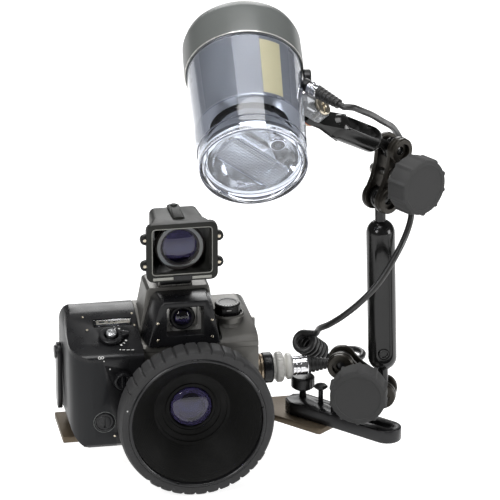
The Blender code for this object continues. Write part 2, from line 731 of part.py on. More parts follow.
def film_works():
    """Prime lens, shutter, take-up spool, back door with its pressure plate, hinge pin and latch."""
    r = PORT_RADIUS - GAP
    prime = [
        (0, 0.0090), (0.62 * r, 0.0060), (0.76 * r, 0.0030), (0.85 * r, 0.0005), (r, 0.0005),
        (r, 0.0330), (0.79 * r, 0.0400), (0.62 * r, 0.0452), (0, 0.0452),
    ]
    placed(
        "camera_lens", turned([(r, -h) for r, h in prime]), optical_glass(),
        along_y(0, BODY_FRONT, LENS_AXIS_Z)
    )
    placed(
        "shutter_blades",
        box(
            -GATE_WIDE / 2 + GAP, GATE_WIDE / 2 - GAP, -0.0037, -0.0019, LENS_AXIS_Z - GATE_HIGH / 2 + GAP,
            LENS_AXIS_Z + GATE_HIGH / 2 - GAP
        ),
        steel()
    )
    low, high = LENS_AXIS_Z - FILM_HIGH / 2 + 0.0010, LENS_AXIS_Z + FILM_HIGH / 2 - 0.0010
    spool = [
        (0, low), (0.0110, low), (0.0110, low + 0.0015), (SPOOL_RADIUS, low + 0.0022),
        (SPOOL_RADIUS, high - 0.0022), (0.0110, high - 0.0015), (0.0110, high), (0, high)
    ]
    takeup = placed("takeup_spool", turned(spool), satin_black(), Matrix.Translation((SPOOL_X, SPOOL_Y, 0)))
    shaped(
        takeup, box(-0.0008, 0.0008, 0.0045, 0.02, low + 0.005, high - 0.005),
        place=Matrix.Translation((SPOOL_X, SPOOL_Y, 0))
    )
    inner = BODY_BACK + GAP
    outline = rounded(
        GRIP_LEFT + 0.0005, BODY_RIGHT, BODY_BOTTOM + 0.001, DOOR_TOP, (0.016, BODY_CORNER, 0.006, 0.006), 5
    )
    sections = [(inner, 1.0), (inner + DOOR_THICK - 0.003, 1.0), (inner + DOOR_THICK, 0.975)]
    middle = Vector(((GRIP_LEFT + BODY_RIGHT) / 2, (BODY_BOTTOM + DOOR_TOP) / 2))
    rings = []
    for y, scale in sections:
        rings.append([(middle.x + (x - middle.x) * scale, y, middle.y + (z - middle.y) * scale)
                      for x, z in outline])
    door = placed("back_door", lofted(rings), gunmetal())
    low_lug, high_lug = lug_spans()
    knuckle = arc(0, 0, KNUCKLE_RADIUS, -140, 130, 10)
    knuckle += [(-0.0100, 0.0045), (-0.0100, 0.0003), (-0.0049, 0.0003)]
    shaped(door, extruded(knuckle, low_lug[1] + GAP, high_lug[0] - GAP), "UNION", hinge_frame())
    shaped(door, rod(HINGE_PIN_RADIUS + GAP, 0, 0.12), place=hinge_frame())
    thumb = rounded(-0.094, -0.060, 0.050, 0.092, (0.006,) * 4, 3)
    shaped(
        door, swap_to_xz(extruded(thumb, inner + DOOR_THICK - 0.001, inner + DOOR_THICK + 0.0022)), "UNION"
    )
    half_wide, half_high = PLATE_WIDE / 2, PLATE_HIGH / 2
    plate = rounded(-half_wide, half_wide, LENS_AXIS_Z - half_high, LENS_AXIS_Z + half_high, (0.003,) * 4, 3)
    placed("pressure_plate", swap_to_xz(extruded(plate, BODY_BACK - 0.0022, BODY_BACK)), satin_black())
    pin = [
        (0, KNUCKLE_LOW - 0.0010), (HINGE_PIN_RADIUS, KNUCKLE_LOW - 0.0010),
        (HINGE_PIN_RADIUS, KNUCKLE_HIGH + GAP), (0.0026, KNUCKLE_HIGH + GAP),
        (0.0026, KNUCKLE_HIGH + 0.0016), (0, KNUCKLE_HIGH + 0.0016)
    ]
    placed("hinge_pin", turned(pin), steel(), hinge_frame())
    r = LATCH_RADIUS
    lever = arc(0, 0, r, 180, 360, 8)
    lever += [(r - 0.0010, 0.77 * LATCH_LONG), (r - 0.0035, LATCH_LONG)]
    lever += [(0.0035 - r, LATCH_LONG), (0.0010 - r, 0.77 * LATCH_LONG)]
    latch_place = frame((GRIP_LEFT - GAP, LATCH_Y, LATCH_Z), (-1, 0, 0), (0, 1, 0))
    latch = placed("back_latch", extruded(lever, 0, LATCH_THICK), satin_black(), latch_place)
    shaped(latch, rod(0.7 * r, 0.001, LATCH_THICK + 0.0020), "UNION", latch_place)


def accessory_shoe():
    """The channel on the hump that the finder's foot slides into."""
    outer = FOOT_HALF - 0.0008
    lip = FOOT_HALF - 0.0035
    deep = HUMP_TOP - 0.0012 + GAP
    profile = [
        (-outer, deep), (outer, deep), (outer, deep + 0.0075), (lip, deep + 0.0075), (lip, deep + 0.0055),
        (outer - 0.0016, deep + 0.0055), (outer - 0.0016, deep + 0.0020), (-outer + 0.0016, deep + 0.0020),
        (-outer + 0.0016, deep + 0.0055), (-lip, deep + 0.0055), (-lip, deep + 0.0075),
        (-outer, deep + 0.0075)
    ]
    shoe = placed("accessory_shoe", swap_to_xz(extruded(profile, -0.0235, HUMP_BACK - 0.006)), steel())
    shoe.data.transform(Matrix.Translation((FOOT_MIDDLE_X, 0, 0)))
    return shoe


def sync_parts():
    """Socket rings on the body, the white nut, the chrome coupling and the ribbed relief, all along X."""
    def on_side(x):
        return frame((x, SYNC_Y, SYNC_Z), (1, 0, 0), (0, 1, 0))
    seat = BODY_RIGHT + GAP
    length = SOCKET_END - seat
    r = SOCKET_RADIUS
    socket = [
        (0, 0), (r - 0.0005, 0), (r - 0.0005, 0.0030), (r - 0.0022, 0.0036), (r - 0.0022, 0.0062),
        (r, 0.0070), (r, length - 0.0012), (r - 0.0010, length), (0, length)
    ]
    placed("sync_socket", turned(socket), chrome(), on_side(seat))
    start = SOCKET_END + GAP
    length = PLUG_END - start
    plug = [
        (0, 0), (0.0105, 0), (0.0105, 0.0020), (r - 0.0010, 0.0028), (r, 0.0040), (r, 0.0078),
        (r - 0.0012, 0.0090), (0.0088, 0.0100), (0.0088, 0.0112), (0.0106, 0.0120), (0.0117, 0.0130),
        (0.0117, length - 0.0012), (0.0105, length), (0, length)
    ]
    placed("sync_plug", turned(plug), white_nylon(), on_side(start))
    start = PLUG_END + GAP
    length = COUPLING_END - start
    c = COUPLING_RADIUS
    ring = [(0, 0), (c - 0.0010, 0), (c, 0.0010), (c, length - 0.0010), (c - 0.0010, length), (0, length)]
    placed("sync_coupling", turned(ring), chrome(), on_side(start))
    start = COUPLING_END + GAP
    placed(
        "sync_relief", turned(ribbed_relief(0.0075, 0.0046, RELIEF_END - start, 5)), cord_black(),
        on_side(start)
    )


def ribbed_relief(wide, narrow, length, ribs):
    """The outline of a tapered strain relief with square ribs."""
    profile = [(0, 0)]
    step = length / (ribs + 0.6)
    for i in range(ribs):
        radius = wide + (narrow - wide) * i / ribs
        profile += [
            (radius, i * step), (radius, (i + 0.55) * step), (radius - 0.0011, (i + 0.6) * step),
            (radius - 0.0011, (i + 0.95) * step)
        ]
    return profile + [(narrow, ribs * step), (narrow, length), (0, length)]


def conversion_lens():
    """The lens round one axis, all its round pieces with the same sides so that their gaps stay even."""
    place = along_y(0, LENS_FRONT, LENS_AXIS_Z)
    sides = facets(SEAT_RADIUS)
    grip_ring(place, sides)
    seat, rim = SEAT_RADIUS, RIM_RADIUS
    bezel = [
        (rim, -0.0060), (seat, -0.0060), (seat, 0.0004), (seat - 0.0009, 0.0012), (rim + 0.0008, 0.0012),
        (rim, 0.0004)
    ]
    retaining = placed("lens_retaining_ring", turned(bezel, sides), satin_black(), place)
    for angle in (12, 132, 252):
        notch = box(rim - 0.002, rim + 0.0013, -0.0012, 0.0012, -0.0006, 0.005)
        shaped(retaining, notch, place=place @ Matrix.Rotation(math.radians(angle), 4, "Z"))
    hood_and_barrel(place, sides)
    e = HOOD_EYE - GAP
    crown, edge = HOOD_DEEP + 0.0010, HOOD_DEEP + 0.0060
    element = [(0, -crown)]
    for a in (22, 44, 66, 90):
        a = math.radians(a)
        element.append((e * math.sin(a), -edge + (edge - crown) * math.cos(a)))
    back = HOOD_DEEP + HOOD_TAIL - 0.0002
    element += [(e, -back), (0, -back)]
    placed("lens_front_element", turned(element), optical_glass(), place)


def grip_ring(place, sides):
    """The rubber ring, with two arcs of ribs and a bore that the seat of the rim fills."""
    outline = []
    pitch = 2 * RIB_HALF_ARC / RIB_COUNT
    for middle in (RIB_MIDDLE, RIB_MIDDLE + math.pi):
        for i in range(RIB_COUNT):
            start = middle - RIB_HALF_ARC + i * pitch
            for share, radius in ((0.0, RING_RADIUS - RIB_HIGH), (0.2, RING_RADIUS), (0.8, RING_RADIUS)):
                a = start + share * pitch
                outline.append((radius * math.cos(a), radius * math.sin(a)))
        rest = math.pi - 2 * RIB_HALF_ARC
        for i in range(8):
            a = middle + RIB_HALF_ARC + rest * i / 8
            outline.append(((RING_RADIUS - 0.0008) * math.cos(a), (RING_RADIUS - 0.0008) * math.sin(a)))
    narrow = [(x * 0.965, y * 0.965) for x, y in outline]
    sections = [(narrow, 0), (outline, -0.0035), (outline, -RING_LONG)]
    rings = [[(x, y, z) for x, y in points] for points, z in sections]
    ring = placed("lens_grip_ring", lofted(rings), ring_rubber(), place, 20)
    bore = SEAT_RADIUS + GAP
    shaped(ring, turned([(0, -0.03), (bore, -0.03), (bore, 0.01), (0, 0.01)], sides), place=place)


def cone_radius(depth):
    """The hood's inner radius at that depth behind the lens front."""
    share = (depth - HOOD_MOUTH) / (HOOD_DEEP - HOOD_MOUTH)
    return RIM_RADIUS - GAP + (HOOD_THROAT - RIM_RADIUS + GAP) * share


def hood_and_barrel(place, sides):
    """The conical hood behind the retaining ring, and the barrel that carries it to the camera."""
    flange = RING_LONG + 0.0010
    step = HOOD_DEEP - GAP
    end = HOOD_DEEP + HOOD_TAIL
    body, tail, eye = cone_radius(flange) + HOOD_WALL, HOOD_TAIL_RADIUS, HOOD_EYE
    stair = [(HOOD_THROAT, 0), (eye + 0.0125, 0.0006), (eye + 0.0125, 0.0022), (eye + 0.0075, 0.0028)]
    stair += [(eye + 0.0075, 0.0044), (eye + 0.0010, 0.0050), (eye, 0.0058)]
    hood = [(RIM_RADIUS - GAP, -HOOD_MOUTH)]
    hood += [(r, -HOOD_DEEP - deeper) for r, deeper in stair]
    hood += [(eye, -end), (tail, -end), (tail, -step), (body, -step), (body, -flange)]
    hood += [(SEAT_RADIUS, -flange), (SEAT_RADIUS, -0.0064), (RIM_RADIUS - GAP, -0.0064)]
    placed("lens_hood", turned(hood, sides), hood_black(), place)
    depth = BODY_FRONT - LENS_FRONT - GAP
    neck = -GRIP_RIGHT - 2 * GAP - 0.0004
    shoulder = GRIP_FRONT - LENS_FRONT - RUN
    bore, outer = body + RUN, body + RUN + BARREL_WALL
    barrel = [(bore, -flange - GAP), (outer - 0.0010, -flange - GAP), (outer, -flange - 0.0014)]
    barrel += [(outer, -shoulder + 0.0020), (outer - 0.0020, -shoulder), (neck, -shoulder), (neck, -depth)]
    barrel += [(PORT_RADIUS + 0.0020, -depth), (PORT_RADIUS + 0.0020, -end - GAP)]
    barrel += [(tail + RUN, -end - GAP), (tail + RUN, -step - GAP), (bore, -step - GAP)]
    placed("lens_barrel", turned(barrel, sides), satin_black(), place)


def optical_finder():
    """The boxy finder: tapered housing with a ribbed top, front frame with four lugs, lens and foot."""
    front = FINDER_FRONT + 0.0060 + GAP
    half_w, half_h = FINDER_WIDE / 2 - 0.003, FINDER_HIGH / 2 - 0.002
    rear_w, rear_h = FINDER_REAR_WIDE / 2, FINDER_REAR_HIGH / 2

    def ring(y, w, h):
        return [(FINDER_X + x, y, FINDER_Z + z) for x, z in rounded(-w, w, -h, h, (0.005,) * 4, 3)]
    back = FINDER_FRONT + FINDER_LONG
    rings = [
        ring(front, half_w, half_h), ring(front + 0.010, half_w - 0.002, half_h - 0.0005),
        ring(front + 0.018, rear_w, rear_h), ring(back - 0.002, rear_w - 0.002, rear_h - 0.001),
        ring(back, rear_w - 0.004, rear_h - 0.003),
    ]
    housing = placed("finder_housing", lofted(rings), black_shell())
    rib = [
        (-0.0050, -0.004), (0.0050, -0.004), (0.0038, 0.0020), (0.0015, 0.0034), (-0.0015, 0.0034),
        (-0.0038, 0.0020)
    ]
    rib_place = frame((FINDER_X, front + 0.012, FINDER_Z + rear_h), (0, 1, 0), (1, 0, 0))
    rib_body = extruded([(x, -z) for x, z in rib], 0, back - front - 0.0135)
    shaped(housing, rib_body, "UNION", rib_place)
    mouth = half_w - FINDER_WALL, half_h - FINDER_WALL
    rings = [
        ring(front - 0.01, *mouth), ring(front + 0.0125, *mouth),
        ring(back - 0.010, rear_w - 0.005, rear_h - 0.005),
    ]
    shaped(housing, lofted(rings))
    shaped(housing, rod(0.0110, -0.02, 0.01), place=frame((FINDER_X, back, FINDER_Z), (0, 1, 0)))
    w, h = FINDER_WIDE / 2, FINDER_HIGH / 2
    outer = rounded(FINDER_X - w, FINDER_X + w, FINDER_Z - h, FINDER_Z + h, (0.006,) * 4, 4)
    bezel = placed(
        "finder_frame", swap_to_xz(extruded(outer, FINDER_FRONT, FINDER_FRONT + 0.0060)), black_shell()
    )
    for side in (-1, 1):
        for z in (-0.0115, 0.0125):
            lug = arc(0, 0, 0.0045, 0, 360, 12)[:-1]
            place = frame((FINDER_X + side * (w + 0.0008), FINDER_FRONT + 0.0015, FINDER_Z + z), (0, 1, 0))
            shaped(bezel, extruded(lug, 0, 0.0045), "UNION", place)
    hole = rounded(
        FINDER_X - w + 0.0050, FINDER_X + w - 0.0050, FINDER_Z - h + 0.0065, FINDER_Z + h - 0.0045,
        (0.003,) * 4, 3
    )
    softened(bezel, 0.0010, 1)
    shaped(bezel, swap_to_xz(extruded(hole, FINDER_FRONT - 0.01, FINDER_FRONT + 0.02)))
    r = FINDER_LENS_RADIUS
    lens = [
        (0, -0.0120), (0.7 * r, -0.0120), (0.7 * r, -0.0060), (r, -0.0060), (r, -0.0010),
        (0.935 * r, 0), (0.77 * r, 0), (0.725 * r, -0.0030), (0.375 * r, -0.0012), (0, -0.0004),
    ]
    placed("finder_lens", turned(lens), optical_glass(), along_y(FINDER_X, FINDER_FRONT + 0.0120, FINDER_Z))
    low = HUMP_TOP - 0.0012 + GAP + 0.0020 + GAP
    top = FINDER_Z - FINDER_REAR_HIGH / 2 - 0.0003
    shelf = FOOT_HALF - 0.0008 - 0.0016 - GAP
    neck = FOOT_HALF - 0.0035 - 0.0004
    profile = [
        (-shelf, low), (shelf, low), (shelf, low + 0.0030), (neck, low + 0.0030), (neck, low + 0.0085),
        (neck + 0.003, low + 0.0100), (neck + 0.003, top), (-neck - 0.003, top),
        (-neck - 0.003, low + 0.0100), (-neck, low + 0.0085), (-neck, low + 0.0030), (-shelf, low + 0.0030)
    ]
    foot = placed("finder_foot", swap_to_xz(extruded(profile, -0.0235, 0.0035)), satin_black())
    foot.data.transform(Matrix.Translation((FOOT_MIDDLE_X, 0, 0)))


def bar_frame():
    """Origin at the bar's start, X along the bar."""
    return frame(BAR_START, UP, BAR_END - BAR_START)


def bar_length():
    return (BAR_END - BAR_START).length


def on_bar(distance, aside):
    """A point of the bar's underside plane, that far along it and beside its middle."""
    return bar_frame() @ Vector((distance, aside, 0))


def tray_and_bar():
    """Tray with its wing, the camera's screw, the arm's bar, two thumb screws and the ball post."""
    near = on_bar(0, -WING_HALF)
    wing_near = on_bar(WING_LONG - 0.002, -WING_HALF)
    wing_far = on_bar(WING_LONG - 0.002, WING_HALF)
    outline = [
        (TRAY_LEFT, TRAY_FRONT), (near.x - 0.010, TRAY_FRONT), (near.x - 0.004, near.y + 0.004),
        (wing_near.x - 0.002, wing_near.y + 0.002), (wing_near.x + 0.001, wing_near.y + 0.0005),
        (wing_far.x, wing_far.y - 0.0015), (wing_far.x - 0.002, wing_far.y + 0.002),
        (TRAY_RIGHT + 0.008, TRAY_BACK), (TRAY_LEFT, TRAY_BACK)
    ]
    tray = placed("base_tray", extruded(outline, 0, TRAY_THICK), tray_alloy())
    softened(tray, 0.0012, 2)
    screw_place = Matrix.Translation((TRIPOD_X, TRIPOD_Y, 0))
    shaped(tray, rod(TRIPOD_RADIUS + GAP, -0.01, 0.02), place=screw_place)
    shaped(tray, rod(0.0072 + GAP, -0.01, 0.0030), place=screw_place)
    screw = [
        (0, 0.0004), (0.0050, 0.0004), (0.0060, 0.0010), (0.0072, 0.0010), (0.0072, 0.0027),
        (TRIPOD_RADIUS, 0.0027), (TRIPOD_RADIUS, TRAY_THICK), (0, TRAY_THICK),
    ]
    placed("camera_screw", turned(screw), steel(), screw_place)
    low, high = TRAY_THICK + GAP, TRAY_THICK + GAP + BAR_THICK
    long = bar_length()
    half = BAR_WIDE / 2
    plan = [(-0.004, -half + 0.006), (0.006, -half)] + arc(long - half, 0, half, -90, 90, 10)
    plan += [(0.004, half), (-0.004, half - 0.008)]
    bar = placed("base_bar", extruded(plan, low, high), satin_black(), bar_frame())
    softened(bar, 0.0010, 2)
    eye = arc(long - 0.012, 0, 0.0037, -90, 90, 6) + arc(long - 0.034, 0, 0.0037, 90, 270, 6)
    shaped(bar, extruded(eye, -0.01, 0.05), place=bar_frame())
    screws = (
        ("bar_thumb_screw", 0.0070, 0.0050, 0.0104, 0.0200, 0.0385),
        ("bar_lock_screw", 0.0285, 0.0030, 0.0062, 0.0255, 0.0360)
    )
    for name, distance, aside, radius, foot, top in screws:
        place = Matrix.Translation(on_bar(distance, aside))
        drill = 0.0030 if radius > 0.008 else 0.0022
        shaped(bar, rod(drill + GAP, low + 0.002, 0.05), place=place)
        knob = [
            (0, low + 0.002 + GAP), (drill, low + 0.002 + GAP), (drill, foot + 0.0055),
            (radius - 0.0025, foot + 0.0065), (radius, foot + 0.0085), (radius, top - 0.0015),
            (radius - 0.0015, top), (0, top)
        ]
        placed(name, turned(knob), satin_black(), place)
    place = Matrix.Translation((POST_BALL.x, POST_BALL.y, 0))
    ball_z = POST_BALL.z
    angles = [math.radians(a) for a in (-58, -35, -12, 12, 35, 58, 90)]
    post = [
        (0, high + GAP), (0.0095, high + GAP), (0.0095, high + 0.0055), (0.0075, high + 0.0085),
        (NECK_RADIUS, high + 0.0110)
    ]
    post += [
        (max(0.0, BALL_RADIUS * math.cos(a)) if a < 1.5 else 0.0, ball_z + BALL_RADIUS * math.sin(a))
        for a in angles
    ]
    placed("ball_post", turned(post), satin_black(), place)


def clamp(prefix, first, second, k):
    """Two plates that grip two balls, with the knob and its bolt through the middle. Z runs to the knob."""
    place = frame(first, k, second - first)
    span = (second - first).length
    half = span / 2
    waist = [(half - 0.006, -CLAMP_WAIST), (half + 0.006, -CLAMP_WAIST)]
    outline = arc(0, 0, CLAMP_RADIUS, 60, 300, 10) + waist + arc(span, 0, CLAMP_RADIUS, -120, 120, 10)
    outline += [(x, -y) for x, y in reversed(waist)]
    for side, name in ((-1, "back"), (1, "front")):
        low, high = CLAMP_SPLIT, CLAMP_WEB
        spans = (low, high) if side > 0 else (-high, -low)
        plate = placed(f"{prefix}_clamp_{name}", extruded(outline, *spans), satin_black(), place)
        cup_top = CLAMP_DEEP if side > 0 else 0.0115
        cup = turned(
            [
                (0, low + 0.001), (CLAMP_RADIUS - 0.0004, low + 0.001),
                (CLAMP_RADIUS - 0.0004, cup_top - 0.001), (CLAMP_RADIUS - 0.0014, cup_top), (0, cup_top)
            ]
        )
        for at in (0, span):
            copy = cup.copy()
            if side < 0:
                bmesh.ops.rotate(copy, verts=copy.verts, matrix=Matrix.Rotation(math.pi, 3, "X"))
            shaped(plate, copy, "UNION", place @ Matrix.Translation((at, 0, 0)))
        for at in (0, span):
            seat = place @ Matrix.Translation((at, 0, 0))
            shaped(plate, ball(BALL_RADIUS + RUN), place=seat)
            if side > 0:
                shaped(plate, rod(0.0072, cup_top - 0.0035, cup_top + 0.01), place=seat)
                shaped(plate, rod(0.0040, 0.004, cup_top + 0.01), place=seat)
        shaped(plate, rod(BOLT_RADIUS + GAP, -0.03, 0.03), place=place @ Matrix.Translation((half, 0, 0)))
    middle = place @ Matrix.Translation((half, 0, 0))
    grip = []
    for i in range(KNOB_BUMPS):
        turn = math.tau * (i + 0.5) / KNOB_BUMPS
        for offset, extra in ((-18, 0), (-6, 0), (-3, KNOB_BUMP), (3, KNOB_BUMP), (6, 0)):
            a = turn + math.radians(offset)
            grip.append(((KNOB_RADIUS + extra) * math.cos(a), (KNOB_RADIUS + extra) * math.sin(a)))
    back = KNOB_FRONT - KNOB_LONG
    shrunk = [(x * 0.93, y * 0.93) for x, y in grip]
    sections = [
        (shrunk, back), (grip, back + 0.002), (grip, KNOB_FRONT - 0.0016),
        ([(x * 0.96, y * 0.96) for x, y in grip], KNOB_FRONT)
    ]
    knob = placed(
        f"{prefix}_clamp_knob", lofted([[(x, y, z) for x, y in points] for points, z in sections]),
        knob_rubber(), middle, 30
    )
    rear = -CLAMP_WEB - GAP
    front = CLAMP_WEB + GAP
    shank = [
        (0, rear - 0.0065), (0.0042, rear - 0.0065), (0.0052, rear - 0.0055), (0.0052, rear),
        (BOLT_RADIUS, rear), (BOLT_RADIUS, front), (0.0070, front), (0.0088, 0.0170),
        (0.0088, back + 0.001), (0, back + 0.001)
    ]
    shaped(knob, turned(shank), "UNION", middle)


def ball_arc(height, start, end, steps=6):
    """Profile points on a ball of the arm, from one angle to another, in degrees from its equator."""
    angles = [math.radians(start + (end - start) * i / steps) for i in range(steps + 1)]
    return [
        (BALL_RADIUS * math.cos(a) if abs(a) < 1.57 else 0.0, height + BALL_RADIUS * math.sin(a))
        for a in angles
    ]


def dome(radius, height, start, end, steps=5):
    angles = [math.radians(start + (end - start) * i / steps) for i in range(steps + 1)]
    return [(radius * math.cos(a), height + radius * math.sin(a)) for a in angles]


def arms():
    """The long arm between the clamps and the short arm that carries the strobe."""
    long = (HIGH_BALL - LOW_BALL).length
    place = frame(LOW_BALL, HIGH_BALL - LOW_BALL, (1, 0, 0))
    start, end = ARM_SHOULDER + ARM_RADIUS, long - ARM_SHOULDER - ARM_RADIUS
    profile = ball_arc(0, -90, 60, 6) + [(NECK_RADIUS, ARM_SHOULDER + 0.0008)]
    profile += dome(ARM_RADIUS, start, -66, 0, 3) + dome(ARM_RADIUS, end, 0, 66, 3)
    profile += [(NECK_RADIUS, long - ARM_SHOULDER - 0.0008)] + ball_arc(long, -60, 90, 6)
    arm = placed("long_arm", turned(profile), satin_black(), place)
    slot_low, slot_high = start + 0.005, end - 0.005
    for side in (-1, 1):
        pocket = arc(0, slot_low, 0.0072, 180, 360, 8) + arc(0, slot_high, 0.0072, 0, 180, 8)
        bm = swap_to_xz(extruded(pocket, 0.0075, 0.02))
        if side < 0:
            bmesh.ops.rotate(bm, verts=bm.verts, matrix=Matrix.Rotation(math.pi, 3, "Z"))
        shaped(arm, bm, place=place)
    axis = hinge_axis()
    target = TONGUE_CENTRE
    place = frame(SHORT_BALL, target - SHORT_BALL, -axis)
    long = (target - SHORT_BALL).length
    r = SHORT_ARM_RADIUS
    start, end = ARM_SHOULDER - 0.003 + r, long - 0.034
    profile = ball_arc(0, -90, 60, 6) + [(NECK_RADIUS, ARM_SHOULDER - 0.0025)]
    profile += dome(r, start, -62, 0, 3) + dome(r, end, 0, 78, 3) + [(0, end + r)]
    short = placed("short_arm", turned(profile), satin_black(), place)
    sections = []
    for half_thick, half_wide, z in (
        (0.0088, 0.0085, end - 0.004), (TONGUE_HALF, 0.0080, long - 0.0105),
        (TONGUE_HALF, 0.0080, long + 0.002), (TONGUE_HALF, 0.0062, long + 0.0062),
    ):
        corners = ((-1, -1), (1, -1), (1, 1), (-1, 1))
        sections.append([(half_thick * i, half_wide * j, z) for i, j in corners])
    shaped(short, lofted(sections), "UNION", place)
    shaped(short, rod(BOLT_RADIUS + GAP, -0.02, 0.02), place=frame(target, axis, STROBE_AXIS))
    for low, high in ((start - 0.001, start + 0.013), (start + 0.020, end - 0.002)):
        pocket = arc(0, low + 0.0062, 0.0062, 180, 360, 6) + arc(0, high - 0.0062, 0.0062, 0, 180, 6)
        for side in (0, 1):
            bm = swap_to_xz(extruded(pocket, 0.0072, 0.02))
            if side:
                bmesh.ops.rotate(bm, verts=bm.verts, matrix=Matrix.Rotation(math.pi, 3, "Z"))
            shaped(short, bm, place=place @ Matrix.Rotation(math.radians(90), 4, "Z"))


def hinge_axis():
    """The strobe's tilt axis: square to the strobe and to the short arm."""
    return STROBE_AXIS.cross(TONGUE_CENTRE - SHORT_BALL).normalized()


def strobe_pivot():
    """The middle of the strobe's lug, which lies on the short arm's tongue."""
    return TONGUE_CENTRE + hinge_axis() * (LUG_HALF + GAP + TONGUE_HALF)


def strobe_frame(station=0.0):
    """Origin on the strobe's axis, Z to its back, X to its right."""
    return frame(STROBE_FRONT + STROBE_AXIS * station, STROBE_AXIS, STROBE_AXIS.cross(UP))


def flash_radius(station):
    return FLASH_RADIUS + (FLASH_REAR_RADIUS - FLASH_RADIUS) * station / FLASH_LONG


